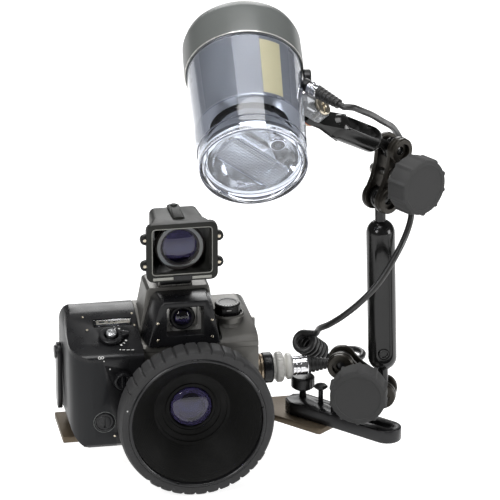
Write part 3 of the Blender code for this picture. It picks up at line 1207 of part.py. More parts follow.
def strobe():
    """The clear housing with its lug, the grey cap, and what shows inside it."""
    place = strobe_frame()
    wall = FLASH_WALL
    rear = FLASH_LONG
    shell = [
        (0, 0.0030), (0.0400, 0.0030), (0.0412, 0), (FLASH_RADIUS - 0.0012, 0), (FLASH_RADIUS, 0.0014),
        (flash_radius(0.0098), 0.0098), (flash_radius(0.01) - 0.0007, 0.0102),
        (flash_radius(0.0168) - 0.0007, 0.0168), (flash_radius(0.0172), 0.0172),
        (flash_radius(0.0382), 0.0382), (flash_radius(0.0388) - 0.0006, 0.0388),
        (flash_radius(rear) - 0.0006, rear), (0, rear)
    ]
    housing = placed("strobe_housing", turned(shell), clear_plastic(), place)
    axis = hinge_axis()
    pivot = strobe_pivot()
    lug_place = frame(pivot, axis, STROBE_AXIS)
    seat = lug_place.inverted() @ (STROBE_FRONT + STROBE_AXIS * (pivot - STROBE_FRONT).dot(STROBE_AXIS))
    inward = Vector((seat.x, seat.y)).normalized()
    across = Vector((-inward.y, inward.x)) * LUG_RADIUS
    angle = math.degrees(math.atan2(inward.y, inward.x))
    reach = inward * 0.0165
    outline = arc(0, 0, LUG_RADIUS, angle + 90, angle + 270, 12) + [
        (reach.x - across.x, reach.y - across.y), (reach.x + across.x, reach.y + across.y)
    ]
    shaped(housing, extruded(outline, -LUG_HALF, LUG_HALF), "UNION", lug_place)
    shaped(housing, rod(0.0056, -0.0095, -GAP), "UNION", frame(PLUG_SEAT, PLUG_AXIS, UP))
    inner = flash_radius(rear) - wall
    hollow = [
        (0, 0.0060), (flash_radius(0.006) - wall, 0.0060), (inner, rear), (inner, rear + 0.01),
        (0, rear + 0.01),
    ]
    shaped(housing, turned(hollow), place=place)
    shaped(housing, rod(BOLT_RADIUS + GAP, -0.02, 0.02), place=lug_place)
    low = -LUG_HALF - GAP - 2 * TONGUE_HALF - GAP
    bolt = [
        (0, low - 0.0050), (0.0050, low - 0.0050), (0.0058, low - 0.0040), (0.0058, low),
        (BOLT_RADIUS, low), (BOLT_RADIUS, LUG_HALF + GAP), (0.0082, LUG_HALF + GAP),
        (0.0082, LUG_HALF + 0.0022), (0.0074, LUG_HALF + 0.0032), (0.0024, LUG_HALF + 0.0032),
        (0.0024, LUG_HALF + 0.0012), (0, LUG_HALF + 0.0012)
    ]
    placed("strobe_pivot_bolt", turned(bolt), steel(), lug_place)
    cap_r = FLASH_REAR_RADIUS + 0.0008
    base = rear + GAP
    cap = [
        (0, base), (cap_r, base), (cap_r + 0.0004, base + 0.002), (cap_r, base + CAP_LONG - 0.0140),
        (cap_r - 0.0030, base + CAP_LONG - 0.0060), (cap_r - 0.0100, base + CAP_LONG - 0.0010),
        (cap_r - 0.0180, base + CAP_LONG), (0, base + CAP_LONG)
    ]
    placed("strobe_cap", turned(cap), cap_grey(), place)
    inner -= GAP
    front = flash_radius(LINER_FRONT) - wall - GAP
    bore = LINER_BORE
    liner = [(bore, LINER_FRONT), (front, LINER_FRONT), (inner, rear - GAP), (bore, rear - GAP)]
    placed("strobe_liner", turned(liner), finish("liner_grey", (0.25, 0.27, 0.30), 0.45), place)
    reach = flash_radius(0.008) - wall - 0.0010
    dish = []
    for share, depth in ((0, 0.84), (0.43, 0.83), (0.72, 0.64), (0.885, 0.36), (0.921, 0.22), (1, 0.22),
                         (1, 0.285), (0.957, 0.385), (0.79, 0.74), (0.742, 0.992), (0, 0.992)):
        dish.append((reach * share, LINER_FRONT * depth))
    reflector = placed(
        "strobe_reflector", turned(dish), finish("mirror_silver", (0.8, 0.8, 0.8), 0.12, 1.0), place
    )
    sensor_at = strobe_frame() @ Matrix.Translation((SENSOR_X, SENSOR_Y, 0))
    hole = SENSOR_RADIUS + 0.0008
    shaped(reflector, rod(hole, 0.0, 0.030), place=sensor_at)
    r = SENSOR_RADIUS
    tube = [
        (0, 0.0064), (r - 0.0022, 0.0064), (r - 0.0014, 0.0075), (r, 0.0080), (r, 0.0110),
        (r - 0.002, 0.0118), (r - 0.002, 0.0290), (0, 0.0290)
    ]
    placed("strobe_sensor", turned(tube), chrome(), sensor_at)
    panel = strobe_frame(0.0064) @ Matrix.Rotation(math.radians(42), 4, "Z")
    half = 0.78 * reach
    lens = rounded(-half, half, -0.331 * reach, 0.39 * reach, (0.008, 0.008, 0.010, 0.010), 3)
    diffuser = placed("strobe_diffuser", extruded(lens, 0, 0.0018), clear_plastic(), panel)
    shaped(diffuser, rod(hole, -0.01, 0.05), place=sensor_at)
    edge = reach * 0.904
    outside = turned([(edge, -0.01), (2 * reach, -0.01), (2 * reach, 0.05), (edge, 0.05)])
    shaped(diffuser, outside, place=place)
    dial_station = FLASH_LONG - FLASH_DIAL_SETBACK
    seat = flash_radius(dial_station + 0.0074) + GAP
    dial = [(0, 0), (0.0070, 0), (0.0074, 0.0006), (0.0074, 0.0050), (0.0064, 0.0062), (0, 0.0062)]
    side = frame(
        strobe_frame(dial_station) @ Vector((seat, 0, 0)), strobe_frame().to_3x3() @ Vector((1, 0, 0)),
        STROBE_AXIS
    )
    placed("strobe_dial", turned(dial), satin_black(), side)
    nut_long = 0.0112
    nut = [(0, 0), (0.0052, 0), (0.0058, 0.0008), (0.0058, nut_long - 0.0012), (0.0050, nut_long - 0.0002)]
    boot = [(r, h + nut_long) for r, h in ribbed_relief(0.0056, 0.0042, STROBE_PLUG_LONG - nut_long, 5)[1:]]
    placed("strobe_plug", turned(nut + boot), cord_black(), frame(PLUG_SEAT, PLUG_AXIS, UP))


def smooth_route(start, start_way, middle, end, end_way, spacing):
    """A cord's points: straight for a diameter at each end, a smooth curve through middle between."""
    lead = 2 * CORD_RADIUS
    knots = [start, start + start_way * lead] + [Vector(p) for p in middle] + [end + end_way * lead, end]
    fine = []
    for p0, p1, p2, p3 in zip(knots, knots[1:], knots[2:], knots[3:]):
        for t in (i / CURVE_STEPS for i in range(CURVE_STEPS)):
            bend = (2 * p0 - 5 * p1 + 4 * p2 - p3) * t**2 + (3 * p1 - p0 - 3 * p2 + p3) * t**3
            fine.append(0.5 * (2 * p1 + (p2 - p0) * t + bend))
    fine.append(knots[-2])
    along = [0.0]
    for a, b in zip(fine, fine[1:]):
        along.append(along[-1] + (b - a).length)
    count = round(along[-1] / spacing)
    points, at = [start], 0
    for wanted in (along[-1] * i / count for i in range(count + 1)):
        while at < len(fine) - 2 and along[at + 1] < wanted:
            at += 1
        points.append(fine[at].lerp(fine[at + 1], (wanted - along[at]) / (along[at + 1] - along[at])))
    return points + [end]


def tube(name, points, resolution):
    """A cord along the points: a curve with a round bevel and filled caps."""
    curve = bpy.data.curves.new(name, "CURVE")
    curve.dimensions = "3D"
    curve.bevel_depth = CORD_RADIUS
    curve.bevel_resolution = resolution
    curve.use_fill_caps = True
    spline = curve.splines.new("POLY")
    spline.points.add(len(points) - 1)
    for point, at in zip(spline.points, points):
        point.co = (*at, 1)
    curve.materials.append(cord_black())
    made = bpy.data.objects.new(name, curve)
    bpy.context.scene.collection.objects.link(made)
    return made


def coil_points():
    """The curly part: an unbroken helix whose ends lead straight off along the axis side."""
    place = frame(COIL_START, COIL_AXIS, (0, 0, 1))
    count = round(COIL_TURNS * COIL_POINTS)
    out = []
    for i in range(count + 1):
        a = math.tau * i / COIL_POINTS
        rise = COIL_PITCH * i / COIL_POINTS
        out.append(place @ Vector((COIL_RADIUS * math.cos(a), -COIL_RADIUS * math.sin(a), rise)))
    lead = CORD_RADIUS * 2
    first = (out[0] - out[1]).normalized()
    last = (out[-1] - out[-2]).normalized()
    return [out[0] + first * lead] + out + [out[-1] + last * lead]


def least_gap(points, apart):
    """The least distance between parts of the tube that are further apart than that along it."""
    least = 1.0
    for i, p in enumerate(points):
        for j in range(i + apart, len(points) - 1):
            a, b = points[j], points[j + 1]
            t = max(0.0, min(1.0, (p - a).dot(b - a) / (b - a).length_squared))
            least = min(least, (p - a.lerp(b, t)).length - 2 * CORD_RADIUS)
    return least


def cords():
    """The sync cord in three pieces: from the strobe to the coil, the coil, and on to the camera's plug."""
    coil = coil_points()
    tube("cord_coil", coil, 1)
    print(f"cord_coil: least gap to itself {least_gap(coil, COIL_POINTS // 2) * 1000:.2f} mm")
    spacing = 4 * CORD_RADIUS
    near = (coil[0] - coil[1]).normalized()
    far = (coil[-1] - coil[-2]).normalized()
    from_strobe = PLUG_SEAT + PLUG_AXIS * (STROBE_PLUG_LONG + GAP)
    tube(
        "cord_upper",
        smooth_route(from_strobe, PLUG_AXIS, UPPER_ROUTE, coil[0] + near * GAP, near, spacing), 2
    )
    from_camera = Vector((RELIEF_END + GAP, SYNC_Y, SYNC_Z))
    tube(
        "cord_lower",
        smooth_route(from_camera, Vector((1, 0, 0)), LOWER_ROUTE, coil[-1] + far * GAP, far, spacing), 2
    )


def camera():
    body_shell()
    top_cover()
    grip_cover()
    viewfinder_block()
    viewfinder_lens()
    small_controls()
    film_works()
    accessory_shoe()


camera()
conversion_lens()
optical_finder()
sync_parts()
tray_and_bar()
clamp("lower", POST_BALL, LOW_BALL, Vector((-0.274, -0.962, 0)))
clamp("upper", HIGH_BALL, SHORT_BALL, Vector((0.508, -0.861, 0)))
arms()
strobe()
cords()
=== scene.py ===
"""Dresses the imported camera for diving: finishes, fine meshes, cords, lights and the camera.

Sizes are in millimetres and mm() turns them into the scene's metres. Everything lies in the
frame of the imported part: the lens looks along -Y and +Z is up.
"""

import logging
import math
from dataclasses import dataclass
from enum import Enum

import bpy
from mathutils import Matrix, Vector


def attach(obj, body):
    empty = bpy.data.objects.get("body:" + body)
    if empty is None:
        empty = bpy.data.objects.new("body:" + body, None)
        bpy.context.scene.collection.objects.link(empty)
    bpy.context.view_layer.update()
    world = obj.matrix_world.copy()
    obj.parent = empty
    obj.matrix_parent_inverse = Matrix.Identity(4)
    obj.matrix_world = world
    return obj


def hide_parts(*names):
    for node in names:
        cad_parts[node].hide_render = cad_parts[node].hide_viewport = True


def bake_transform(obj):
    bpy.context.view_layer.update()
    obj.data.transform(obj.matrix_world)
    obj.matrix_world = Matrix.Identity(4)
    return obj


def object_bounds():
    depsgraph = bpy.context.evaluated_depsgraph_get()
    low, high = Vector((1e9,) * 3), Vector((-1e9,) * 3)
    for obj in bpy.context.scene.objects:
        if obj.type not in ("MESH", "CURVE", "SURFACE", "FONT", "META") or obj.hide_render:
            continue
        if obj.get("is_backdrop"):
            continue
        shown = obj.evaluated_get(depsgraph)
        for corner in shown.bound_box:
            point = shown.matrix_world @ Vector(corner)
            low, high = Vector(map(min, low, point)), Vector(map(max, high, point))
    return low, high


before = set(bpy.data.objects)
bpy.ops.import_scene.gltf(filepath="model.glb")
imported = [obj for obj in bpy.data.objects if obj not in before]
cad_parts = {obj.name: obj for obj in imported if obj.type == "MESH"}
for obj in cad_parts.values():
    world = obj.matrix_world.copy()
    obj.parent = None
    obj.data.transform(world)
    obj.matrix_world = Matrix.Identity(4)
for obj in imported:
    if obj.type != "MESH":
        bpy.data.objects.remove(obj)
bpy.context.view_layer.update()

LOG = logging.getLogger("dressing")
MM = 0.001
WELD = 0.000002
FLAT = math.radians(0.6)
UPRIGHT = Matrix(((1, 0, 0, 0), (0, 0, -1, 0), (0, 1, 0, 0), (0, 0, 0, 1)))
UP = Vector((0, 0, 1))
FRONT = Vector((0, -1, 0))
BACK = Vector((0, 1, 0))
RIGHT = Vector((1, 0, 0))
LENS_AXIS_Z = 41.0

# Sizes and places in millimetres, and directions, that two or more sub-assemblies share
GAP = 0.3
BALL_RADIUS = 9.5
NECK_RADIUS = 4.7
POST_BALL = (136.6, -39.2, 65.4)
SHORT_BALL = (178.6, -42.2, 263.4)
ARM_TONGUE = (99.3, -83.7, 312.8)
TONGUE_THICK = 6.0
LUG_HALF = 5.0
STROBE_AXIS = Vector((0.083, 0.897, 0.434))
STROBE_WAY = STROBE_AXIS.normalized()
PLUG_SEAT = (97.7, -86.3, 339.8)
PLUG_AXIS = (0.594, -0.777, -0.207)
PLUG_LONG = 34.0
CONNECTOR_Y = -15.0
CONNECTOR_Z = 54.0
RELIEF_END = 131.0

Points = list[tuple[float, float]]
Triple = tuple[float, float, float]
Piece = bpy.types.Object
Tree = bpy.types.NodeTree
Socket = bpy.types.NodeSocket


class Pattern(Enum):
    """How a finish varies over a surface."""

    CLOUDS = "clouds"
    BRUSHED = "brushed"
    GRAIN = "grain"


BRUSH_STRETCH = 0.04
MIDDLE_NOISE = (0.35, 0.65)
RELIEF_DEPTH = 0.0002
PANEL_EDGE_HALF = 0.2


def preset(node: bpy.types.Node, **values: object) -> None:
    """Sets a node's inputs, named with underscores for spaces."""
    for name, value in values.items():
        node.inputs[name.replace("_", " ")].default_value = value


def combined(tree: Tree, operation: str, first: Socket, second: Socket) -> Socket:
    """Puts two sockets through a Math node."""
    both = tree.nodes.new("ShaderNodeMath")
    both.operation = operation
    tree.links.new(first, both.inputs[0])
    tree.links.new(second, both.inputs[1])
    return both.outputs["Value"]


@dataclass(frozen=True)
class Finish:
    """One surface finish, made into a node material on first use."""

    name: str
    colour: Triple
    shade: Triple
    roughness: tuple[float, float] = (0.35, 0.5)
    metallic: float = 0.0
    pattern: Pattern = Pattern.CLOUDS
    cloud_scale: float = 60.0
    grain_scale: float = 2500.0
    bump: float = 0.1
    coat: float = 0.0
    coat_roughness: float = 0.05
    transmission: float = 0.0
    ior: float = 1.5
    film: float = 0.0
    specular: float = 0.5
    panel: tuple[tuple[float, float, float, float], ...] = ()
    panel_colour: Triple = (0.0, 0.0, 0.0)
    panel_roughness: float = 0.5

    def material(self) -> bpy.types.Material:
        """Returns the material, building its nodes the first time."""
        found = bpy.data.materials.get(self.name)
        if found:
            return found
        made = bpy.data.materials.new(self.name)
        made.use_nodes = True
        tree = made.node_tree
        shader = tree.nodes["Principled BSDF"]
        preset(shader, Metallic=self.metallic, Coat_Weight=self.coat, Coat_Roughness=self.coat_roughness,
            Transmission_Weight=self.transmission, IOR=self.ior, Specular_IOR_Level=self.specular)
        if self.film:
            preset(shader, Thin_Film_Thickness=self.film)
        self._vary(tree, shader)
        return made

    def _vary(self, tree: Tree, shader: bpy.types.Node) -> None:
        """Links colour, roughness and bump to patterns on Object coordinates."""
        where = tree.nodes.new("ShaderNodeTexCoord").outputs["Object"]
        stretch = tree.nodes.new("ShaderNodeMapping")
        if self.pattern is Pattern.BRUSHED:
            preset(stretch, Scale=(1.0, 1.0, BRUSH_STRETCH))
        tree.links.new(where, stretch.inputs["Vector"])
        clouds = self._noise(tree, where, self.cloud_scale, 4.0)
        fine = self._noise(tree, stretch.outputs["Vector"], self.grain_scale, 2.0)
        tone = tree.nodes.new("ShaderNodeMix")
        tone.data_type = "RGBA"
        preset(tone, A=(*self.colour, 1.0), B=(*self.shade, 1.0))
        tree.links.new(clouds, tone.inputs["Factor"])
        gloss = tree.nodes.new("ShaderNodeMapRange")
        preset(gloss, From_Min=MIDDLE_NOISE[0], From_Max=MIDDLE_NOISE[1], To_Min=self.roughness[0],
            To_Max=self.roughness[1])
        tree.links.new(fine if self.pattern is Pattern.BRUSHED else clouds, gloss.inputs["Value"])
        self._paint(tree, shader, where, tone.outputs["Result"], gloss.outputs["Result"])
        if self.bump:
            relief = tree.nodes.new("ShaderNodeBump")
            preset(relief, Strength=self.bump, Distance=RELIEF_DEPTH)
            height = self._grains(tree, where) if self.pattern is Pattern.GRAIN else fine
            tree.links.new(height, relief.inputs["Height"])
            tree.links.new(relief.outputs["Normal"], shader.inputs["Normal"])

    def _paint(self, tree: Tree, shader: bpy.types.Node, where: Socket,
               tone: Socket, gloss: Socket) -> None:
        """Links colour and roughness, with the panel's own below all of its planes, in millimetres."""
        if not self.panel:
            tree.links.new(tone, shader.inputs["Base Color"])
            tree.links.new(gloss, shader.inputs["Roughness"])
            return
        inside = None
        for *normal, limit in self.panel:
            reach = tree.nodes.new("ShaderNodeVectorMath")
            reach.operation = "DOT_PRODUCT"
            reach.inputs[1].default_value = [n * 1000 for n in normal]
            tree.links.new(where, reach.inputs[0])
            step = tree.nodes.new("ShaderNodeMapRange")
            preset(step, From_Min=limit + PANEL_EDGE_HALF, From_Max=limit - PANEL_EDGE_HALF)
            tree.links.new(reach.outputs["Value"], step.inputs["Value"])
            held = step.outputs["Result"]
            inside = held if inside is None else combined(tree, "MULTIPLY", inside, held)
        for kind, plain, own, goal in (("RGBA", tone, (*self.panel_colour, 1.0), "Base Color"),
                                       ("FLOAT", gloss, self.panel_roughness, "Roughness")):
            mix = tree.nodes.new("ShaderNodeMix")
            mix.data_type = kind
            preset(mix, B=own)
            tree.links.new(inside, mix.inputs["Factor"])
            tree.links.new(plain, mix.inputs["A"])
            tree.links.new(mix.outputs["Result"], shader.inputs[goal])

    @staticmethod
    def _noise(tree: Tree, where: Socket, scale: float,
               detail: float) -> Socket:
        """Adds a noise texture and returns its value socket."""
        noise = tree.nodes.new("ShaderNodeTexNoise")
        preset(noise, Scale=scale, Detail=detail)
        tree.links.new(where, noise.inputs["Vector"])
        return noise.outputs["Fac"]

    def _grains(self, tree: Tree, where: Socket) -> Socket:
        """Adds a cell texture for a leathery moulded grain and returns its distance socket."""
        cells = tree.nodes.new("ShaderNodeTexVoronoi")
        preset(cells, Scale=self.grain_scale)
        tree.links.new(where, cells.inputs["Vector"])
        return cells.outputs["Distance"]


FINDER_SHELL = Finish("finder_moulding", (0.018, 0.0186, 0.0165), (0.023, 0.0236, 0.021), (0.42, 0.54),
    grain_scale=1600.0, bump=0.10, pattern=Pattern.GRAIN, specular=0.2)
GUNMETAL = Finish("gunmetal_enamel", (0.125, 0.122, 0.112), (0.155, 0.150, 0.140), (0.34, 0.46),
    metallic=0.55, cloud_scale=35.0, grain_scale=3000.0, bump=0.12)
SATIN_BLACK = Finish("satin_black_anodised", (0.011, 0.011, 0.012), (0.016, 0.016, 0.017), (0.26, 0.38),
    metallic=0.35, bump=0.05)
GLOSS_BLACK = Finish("gloss_black_moulding", (0.007, 0.007, 0.008), (0.010, 0.010, 0.011), (0.24, 0.34),
    bump=0.03, specular=0.3)
RING_RUBBER = Finish("ribbed_rubber", (0.036, 0.036, 0.038), (0.045, 0.0445, 0.044), (0.5, 0.64),
    grain_scale=1500.0, bump=0.2, pattern=Pattern.GRAIN, specular=0.3)
KNOB_RUBBER = Finish("knob_rubber", (0.0225, 0.0225, 0.0218), (0.0315, 0.0315, 0.030), (0.5, 0.65),
    grain_scale=1300.0, bump=0.25, pattern=Pattern.GRAIN, specular=0.25)
HOOD_BLACK = Finish("flat_hood_black", (0.0035, 0.0035, 0.0033), (0.0048, 0.0048, 0.0044), (0.5, 0.65),
    grain_scale=2200.0, bump=0.06, specular=0.15)
VIOLET_GLASS = Finish("violet_coated_glass", (0.34, 0.29, 0.62), (0.28, 0.24, 0.55), (0.01, 0.02),
    transmission=1.0, ior=1.5, bump=0.0)
DARK_OPTICAL = Finish("dark_coated_glass", (0.012, 0.012, 0.03), (0.02, 0.018, 0.045), (0.02, 0.06),
    bump=0.0, coat=1.0, film=420.0, ior=1.7)
CLEAR_PLASTIC = Finish("clear_polycarbonate", (0.93, 0.95, 1.0), (0.90, 0.93, 0.99), (0.01, 0.03),
    transmission=1.0, ior=1.45, bump=0.0)
CHROME = Finish("bright_chrome", (0.80, 0.80, 0.82), (0.72, 0.72, 0.75), (0.08, 0.18), metallic=1.0,
    bump=0.02)
BRUSHED = Finish("brushed_steel", (0.52, 0.51, 0.49), (0.42, 0.41, 0.39), (0.22, 0.42), metallic=1.0,
    pattern=Pattern.BRUSHED, bump=0.08)
NICKEL = Finish("warm_nickel", (0.62, 0.56, 0.45), (0.52, 0.47, 0.38), (0.2, 0.34), metallic=1.0, bump=0.06)
BRONZE = Finish("bronze_tinted_ring", (0.30, 0.24, 0.17), (0.22, 0.18, 0.14), (0.25, 0.4), metallic=0.9,
    bump=0.05)
NYLON = Finish("off_white_nylon", (0.82, 0.81, 0.77), (0.76, 0.75, 0.71), (0.32, 0.45), cloud_scale=120.0,
    bump=0.08, coat=0.2)
TRAY_ALLOY = Finish("brown_anodised_tray", (0.115, 0.088, 0.058), (0.16, 0.125, 0.085), (0.42, 0.6),
    metallic=0.5, pattern=Pattern.BRUSHED, bump=0.12)
CAP_GREY = Finish("satin_cap_grey", (0.105, 0.112, 0.108), (0.113, 0.120, 0.116), (0.28, 0.32),
    cloud_scale=30.0, grain_scale=2200.0, bump=0.06)
LABEL_GREY = Finish("label_grey_blue", (0.21, 0.218, 0.235), (0.26, 0.267, 0.285), (0.35, 0.5),
    cloud_scale=40.0, bump=0.05)
LABEL_CREAM = Finish("label_cream", (0.78, 0.70, 0.42), (0.72, 0.64, 0.38), (0.35, 0.5), cloud_scale=90.0,
    bump=0.04)
MIRROR = Finish("reflector_silver", (0.86, 0.87, 0.88), (0.78, 0.79, 0.80), (0.05, 0.16), metallic=1.0,
    bump=0.03)
CORD_BLACK = Finish("smooth_cord_rubber", (0.014, 0.014, 0.014), (0.020, 0.020, 0.020), (0.32, 0.46),
    grain_scale=900.0, bump=0.08)
WHITE_MARK = Finish("white_paint_mark", (0.80, 0.80, 0.78), (0.70, 0.70, 0.68), (0.4, 0.6), bump=0.0)
ORANGE_RING = Finish("orange_seal", (0.75, 0.16, 0.02), (0.65, 0.13, 0.02), (0.35, 0.5), bump=0.0)

GRIP_TWO_TONE = Finish("two_tone_grip", (0.009, 0.009, 0.010), (0.013, 0.013, 0.014), (0.24, 0.34),
    grain_scale=1700.0, bump=0.06, pattern=Pattern.GRAIN, coat=0.1,
    panel=((1.0, 0.0, 0.141, -63.9), (0.0, -0.3, 1.0, 107.5)), panel_colour=(0.006, 0.0066, 0.008),
    panel_roughness=0.5, specular=0.25)
CLAMP_BLACK = Finish("bronze_sheen_clamp", (0.020, 0.018, 0.015), (0.036, 0.031, 0.024), (0.28, 0.4),
    metallic=0.6, cloud_scale=45.0, bump=0.06)
GLOSS_SATIN = Finish("gloss_anodised_arm", (0.010, 0.010, 0.010), (0.014, 0.014, 0.014), (0.16, 0.26),
    metallic=0.3, bump=0.04)
BUTTON_SATIN = Finish("satin_button", (0.62, 0.63, 0.64), (0.54, 0.55, 0.56), (0.2, 0.32), metallic=0.9,
    bump=0.04)
BRIGHT_SATIN = Finish("bright_satin_mask", (0.72, 0.71, 0.68), (0.62, 0.61, 0.58), (0.2, 0.34),
    metallic=0.5, bump=0.05)
# Pale paint for a painted highlight along the finder mouth's edge
PAINTED_EDGE_HIGHLIGHT = Finish("painted_edge_highlight", (0.30, 0.30, 0.27), (0.24, 0.24, 0.22), (0.35, 0.5), bump=0.03)
PALE_STRIP = Finish("pale_lip_strip", (0.42, 0.42, 0.38), (0.34, 0.34, 0.31), (0.4, 0.55), bump=0.03)
COATED_RING = Finish("coated_outer_ring", (0.05, 0.055, 0.085), (0.16, 0.13, 0.10), (0.12, 0.22),
    metallic=0.5, cloud_scale=28.0, bump=0.02, coat=0.6, film=380.0)
LINER_SILVER = Finish("silver_grey_liner", (0.42, 0.43, 0.45), (0.34, 0.35, 0.38), (0.25, 0.4),
    metallic=0.5, cloud_scale=30.0, bump=0.05)
# Dark paint for painted shade along the edges of clear parts
SHADED_EDGE = Finish("shaded_clear_edge", (0.10, 0.11, 0.16), (0.15, 0.16, 0.22), (0.1, 0.2), bump=0.0)
FROSTED = Finish("frosted_clear_lug", (0.72, 0.74, 0.77), (0.62, 0.64, 0.67), (0.12, 0.25),
    transmission=0.8, ior=1.45, bump=0.2, grain_scale=700.0)
PRISM_CLEAR = Finish("prism_clear", (0.86, 0.88, 0.90), (0.78, 0.80, 0.83), (0.03, 0.08), transmission=0.85,
    ior=1.5, bump=0.0)
DARK_WINDOW = Finish("dark_sensor_window", (0.006, 0.006, 0.008), (0.012, 0.012, 0.015), (0.03, 0.08),
    bump=0.0, coat=1.0)


def mm(x: float, y: float, z: float) -> Vector:
    """A point given in millimetres, in the scene's metres."""
    return Vector((x, y, z)) * MM


def spun(degrees: float) -> Matrix:
    """A turn about Z."""
    return Matrix.Rotation(math.radians(degrees), 4, "Z")


def moved(x: float, y: float, z: float) -> Matrix:
    """A shift given in millimetres."""
    return Matrix.Translation(mm(x, y, z))


def added(name: str, data: bpy.types.ID) -> Piece:
    """A new object in the scene."""
    made = bpy.data.objects.new(name, data)
    bpy.context.scene.collection.objects.link(made)
    return made


def aimed(piece: Piece, way: Vector) -> None:
    """Points a lamp or a camera along a way."""
    piece.rotation_mode = "QUATERNION"
    piece.rotation_quaternion = way.to_track_quat("-Z", "Y")


def frame_at(origin: Vector, z_axis: Vector, x_hint: Vector = RIGHT) -> Matrix:
    """A placing matrix.

    Args:
        origin: where local zero goes, in metres.
        z_axis: the way that local Z points.
        x_hint: the way that local X points, as near as z_axis allows.

    Returns:
        The matrix from local to frame coordinates.
    """
    z = Vector(z_axis).normalized()
    x = Vector(x_hint)
    x = (x - x.dot(z) * z).normalized()
    turned = Matrix((x, z.cross(x), z)).transposed().to_4x4()
    return Matrix.Translation(origin) @ turned


def looking_out(x: float, y: float, z: float) -> Matrix:
    """A frame, placed in millimetres, whose Z looks out of the camera's front."""
    return frame_at(mm(x, y, z), FRONT)


def arc(cx: float, cy: float, radius: float, start: float, end: float, steps: int) -> Points:
    """Points on an arc given in degrees, both ends kept."""
    angles = [math.radians(start + (end - start) * i / steps) for i in range(steps + 1)]
    return [(cx + radius * math.cos(a), cy + radius * math.sin(a)) for a in angles]


def rounded(x0: float, x1: float, y0: float, y1: float, radii: tuple[float, float, float, float],
            steps: int = 8) -> Points:
    """A rectangle with rounded corners, whose radii go from lower left round to upper left."""
    ll, lr, ur, ul = radii
    return (
        arc(x0 + ll, y0 + ll, ll, 180, 270, steps)
        + arc(x1 - lr, y0 + lr, lr, 270, 360, steps)
        + arc(x1 - ur, y1 - ur, ur, 0, 90, steps)
        + arc(x0 + ul, y1 - ul, ul, 90, 180, steps)
    )


def eased(points: Points, radius: float, looped: bool = False, steps: int = 3) -> Points:
    """Rounds the corners of a line of points.

    Args:
        points: the line, in millimetres.
        radius: how far from each corner the rounding starts, at most.
        looped: whether the last point joins the first.
        steps: how many chords each corner gets.

    Returns:
        The line with each sharp corner replaced by a short curve.
    """
    chord_share, least_turn, least_reach = 0.45, 0.3, 0.02
    out: Points = []
    count = len(points)
    for i, point in enumerate(points):
        here = Vector(point)
        if not looped and i in (0, count - 1):
            out.append(point)
            continue
        before, after = Vector(points[i - 1]) - here, Vector(points[(i + 1) % count]) - here
        turn = math.pi - before.angle(after, math.pi)
        reach = min(radius, chord_share * before.length, chord_share * after.length)
        if turn < least_turn or reach < least_reach:
            out.append(point)
            continue
        start, end = here + before.normalized() * reach, here + after.normalized() * reach
        for k in range(steps + 1):
            t = k / steps
            bent = start * (1 - t) ** 2 + here * 2 * t * (1 - t) + end * t * t
            out.append((bent.x, bent.y))
    return out


def ribbed_relief(wide: float, narrow: float, length: float, ribs: int) -> Points:
    """The outline of a tapered strain relief with square ribs."""
    rib_end, floor_start, floor_end, deep, tip = 0.55, 0.6, 0.95, 1.1, 0.6
    profile: Points = [(0, 0)]
    step = length / (ribs + tip)
    for i in range(ribs):
        radius = wide + (narrow - wide) * i / ribs
        profile += [(radius, i * step), (radius, (i + rib_end) * step),
                    (radius - deep, (i + floor_start) * step), (radius - deep, (i + floor_end) * step)]
    return profile + [(narrow, ribs * step), (narrow, length), (0, length)]


